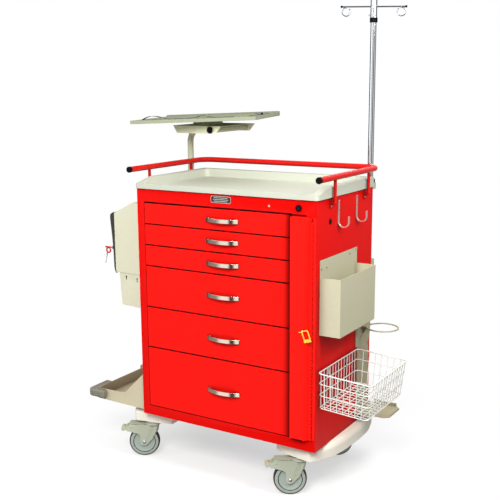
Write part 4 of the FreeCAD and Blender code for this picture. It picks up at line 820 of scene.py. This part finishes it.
# ------------------------------------------------------------------ small surface detail on the cabinet, with painted shade strips in its gaps
d = Build("hinge_gap_shade_rings")
z = 46.0 + 12.7
while z < 858:
    # painted shade: dark rings where the gaps between the knuckles of the piano hinge fall in shade
    d.revolve([(0.0, -0.0007), (0.0033, -0.0007), (0.0033, 0.0007), (0.0, 0.0007)], M(763.0, -4.5, z), Vector((0, 0, 1)), "deep", 16)
    z += 12.7
d.done("cabinet", angle=60)

# painted shade: dark sheets in the gaps between the drawer fronts, in the header seam and in the slots above and below
# the bar; the last strip sits proud under the header as a painted shadow of its overhang
g = Build("seam_shade_strips")
MODULE, OPEN_B = 82.55, 39.0
for k in (3, 5, 7, 8, 9):
    zc = OPEN_B + 0.25 + MODULE * k
    g.block(35.2, 680.0, 1.0, 15.5, zc - 1.95, zc + 1.95, "painted_gap_shade")
g.block(35.2, 680.0, 1.0, 15.5, 863.2, 866.3, "painted_gap_shade")
g.block(35.2, 680.0, 1.0, 15.5, 39.2, 40.5, "painted_gap_shade")
g.block(684.2, 739.0, 2.6, 4.0, 861.0, 867.5, "painted_gap_shade")
g.block(691.0, 739.0, 2.6, 4.0, 35.5, 42.5, "deep")
g.block(36.0, 680.0, -0.3, 0.4, 866.4, 869.4, "painted_gap_shade")
g.done("cabinet", angle=40)
SPAN = {6: (0, 3), 5: (3, 5), 4: (5, 7), 3: (7, 8), 2: (8, 9), 1: (9, 10)}
for i, (lo, hi) in SPAN.items():
    # painted shade: a dark strip along the bottom edge of each drawer front, widening the shaded seam below it
    e = Build("drawer_edge_%d" % i)
    z0 = OPEN_B + 0.25 + MODULE * lo + 1.9 if lo else OPEN_B + 1.9
    e.block(37.2, 677.8, -0.3, 0.5, z0, z0 + 1.3, "painted_gap_shade")
    e.done("drawer_%d" % i, angle=40)
# painted shade: dark strips beside the bar's left edge and across its foot, standing in for the shadow beside the proud
# bar and the slot under it
g = Build("bar_edge_shade_strips")
g.block(681.4, 684.2, -17.0, -2.5, 45.0, 859.0, "painted_gap_shade")
g.block(693.0, 736.0, -18.35, -17.6, 43.3, 46.6, "painted_gap_shade")
g.done("bar", bevel=0.0001, angle=40)

sc = Build("bumper_screws")
for yy, zz, s in ((-16, 40, -1), (462, 40, 1)):
    for x in (-264, -228):
        sc.revolve([(0.0, 0.0012), (0.0030, 0.0012), (0.0042, 0.0006), (0.0044, 0.0)], M(x, yy - (0.1 if s < 0 else -0.1), zz), Vector((0, s, 0)), "deep", 20)
sc.done("cabinet", angle=60)

# ------------------------------------------------------------------ floor, light, camera
me = bpy.data.meshes.new("floor")
me.from_pydata([(-30, -30, 0), (30, -30, 0), (30, 30, 0), (-30, 30, 0)], [], [(0, 1, 2, 3)])
floor = bpy.data.objects.new("floor", me)
bpy.context.scene.collection.objects.link(floor)
fm, nt, bs = new_mat("floor_pale")


def math_node(nt, op, a, b=None):
    n = nt.nodes.new("ShaderNodeMath")
    n.operation = op
    for k, v in enumerate((a, b)):
        if v is None:
            continue
        if isinstance(v, (int, float)):
            n.inputs[k].default_value = v
        else:
            nt.links.new(v, n.inputs[k])
    return n.outputs[0]


def cards(nt, vec):
    """Brightness of the studio as bright metal sees it: softboxes and dark flags standing round the cart."""
    sp_ = nt.nodes.new("ShaderNodeSeparateXYZ")
    nt.links.new(vec, sp_.inputs[0])
    ang = math_node(nt, "ARCTAN2", sp_.outputs["Y"], sp_.outputs["X"])
    f = math_node(nt, "ADD", math_node(nt, "DIVIDE", ang, 2 * math.pi), 0.5)
    r_ = nt.nodes.new("ShaderNodeValToRGB")
    el = r_.color_ramp.elements
    stops = [(-180, 0.08), (-170, 0.10), (-162, 0.34), (-126, 0.46), (-116, 1.5), (-92, 1.5), (-86, 0.07), (-76, 0.07), (-70, 1.5), (-56, 1.5), (-50, 0.10), (-22, 0.10), (-14, 1.0),
             (18, 1.0), (26, 0.22), (70, 0.22), (80, 0.85), (112, 0.85), (122, 0.10), (179.9, 0.08)]
    el[0].position, el[0].color = 0.0, (stops[0][1],) * 3 + (1,)
    el[1].position, el[1].color = 1.0, (stops[-1][1],) * 3 + (1,)
    for deg, v in stops[1:-1]:
        e = el.new((deg + 180) / 360)
        e.color = (v, v, v * 0.985, 1)
    nt.links.new(f, r_.inputs["Fac"])
    return r_.outputs["Color"]


def mix_rgb(nt, fac, a, b):
    x = nt.nodes.new("ShaderNodeMix")
    x.data_type = "RGBA"
    if isinstance(fac, (int, float)):
        x.inputs[0].default_value = fac
    else:
        nt.links.new(fac, x.inputs[0])
    for k, v in ((6, a), (7, b)):
        if isinstance(v, tuple):
            x.inputs[k].default_value = v
        else:
            nt.links.new(v, x.inputs[k])
    return x.outputs[2]


# the floor is pale near the cart and runs out into the white backdrop; bright metal sees the cards in it
nz = noise(nt, 0.8, 3.0)
coord = nt.nodes["coord"].outputs["Object"]
pale = tint(nt, nz.outputs["Fac"], (0.915, 0.915, 0.92, 1), (0.94, 0.94, 0.945, 1))
lp = nt.nodes.new("ShaderNodeLightPath")
nt.links.new(mix_rgb(nt, lp.outputs["Is Camera Ray"], (0.60, 0.60, 0.59, 1), pale), bs.inputs["Base Color"])
bs.inputs["Roughness"].default_value = 0.9
bs.inputs["Specular IOR Level"].default_value = 0.1
ln = nt.nodes.new("ShaderNodeVectorMath")
ln.operation = "LENGTH"
nt.links.new(coord, ln.inputs[0])
far = ramp(nt, ln.outputs["Value"], 0.5, 1.0, 0.25, 1.25)
white = nt.nodes.new("ShaderNodeEmission")
nt.links.new(mix_rgb(nt, lp.outputs["Is Glossy Ray"], mix_rgb(nt, lp.outputs["Is Camera Ray"], (0.30, 0.30, 0.30, 1), (1.0, 1.0, 1.0, 1)), cards(nt, coord)), white.inputs["Color"])
both = nt.nodes.new("ShaderNodeMixShader")
nt.links.new(far, both.inputs[0])
nt.links.new(bs.outputs[0], both.inputs[1])
nt.links.new(white.outputs[0], both.inputs[2])
nt.links.new(both.outputs[0], nt.nodes["Material Output"].inputs["Surface"])
me.materials.append(fm)
floor.location.z = -0.0004

w = bpy.data.worlds.new("studio")
bpy.context.scene.world = w
w.use_nodes = True
nt = w.node_tree
bg = nt.nodes["Background"]
tc = nt.nodes.new("ShaderNodeTexCoord")
sep = nt.nodes.new("ShaderNodeSeparateXYZ")
nt.links.new(tc.outputs["Generated"], sep.inputs[0])
sky = mix_rgb(nt, ramp(nt, sep.outputs["Z"], 0.0, 1.0, -0.1, 0.8), (0.38, 0.38, 0.38, 1), (0.66, 0.66, 0.67, 1))
lp = nt.nodes.new("ShaderNodeLightPath")
seen = mix_rgb(nt, lp.outputs["Is Glossy Ray"], sky, mix_rgb(nt, ramp(nt, sep.outputs["Z"], 0.0, 1.0, 0.35, 0.75), cards(nt, tc.outputs["Generated"]), (0.42, 0.43, 0.45, 1)))
nt.links.new(mix_rgb(nt, lp.outputs["Is Camera Ray"], seen, (1.0, 1.0, 1.0, 1)), bg.inputs["Color"])
bg.inputs["Strength"].default_value = 1.0


def area(name, loc, target, size, energy, colour=(1, 1, 1)):
    l = bpy.data.lights.new(name, "AREA")
    l.shape, l.size, l.size_y, l.energy, l.color = "RECTANGLE", size[0], size[1], energy, colour
    o = bpy.data.objects.new(name, l)
    bpy.context.scene.collection.objects.link(o)
    o.location = loc
    o.rotation_euler = (Vector(target) - Vector(loc)).to_track_quat("-Z", "Y").to_euler()
    return o


area("key", (0.9, -2.9, 2.7), (0, 0, 0.8), (1.2, 1.2), 113, (1.0, 0.995, 0.98))
area("left_fill", (-2.6, -2.6, 1.9), (0, 0, 0.7), (1.4, 2.0), 23, (1.0, 0.995, 0.98))
area("right_upper", (1.75, -0.6, 2.1), (0.35, 0, 1.15), (0.5, 0.5), 26, (1.0, 0.995, 0.98))
area("top", (0.1, 0.2, 4.0), (0, 0, 0.9), (2.6, 2.6), 26)

cam = bpy.data.cameras.new("camera")
co = bpy.data.objects.new("camera", cam)
bpy.context.scene.collection.objects.link(co)
bpy.context.scene.camera = co
fw = Vector((-0.5153, 0.8330, -0.2016)).normalized()
right = Vector((0.850, 0.526, 0.0))
right = (right - fw * right.dot(fw)).normalized()
up = right.cross(fw).normalized()
roll = -0.008
r = right * math.cos(roll) + up * math.sin(roll)
u = up * math.cos(roll) - right * math.sin(roll)
pos = M(2115.14, -2644.13, 1323.08)
co.matrix_world = Matrix(((r.x, u.x, -fw.x, pos.x), (r.y, u.y, -fw.y, pos.y), (r.z, u.z, -fw.z, pos.z), (0, 0, 0, 1)))
cam.sensor_width = 36
cam.lens = 872.85 / 500 * 36
cam.shift_x, cam.shift_y = (250 - 242.83) / 500, (260.07 - 250) / 500
cam.clip_start, cam.clip_end = 0.05, 100

vs = bpy.context.scene.view_settings
vs.view_transform = "Standard"
vs.look = "None"
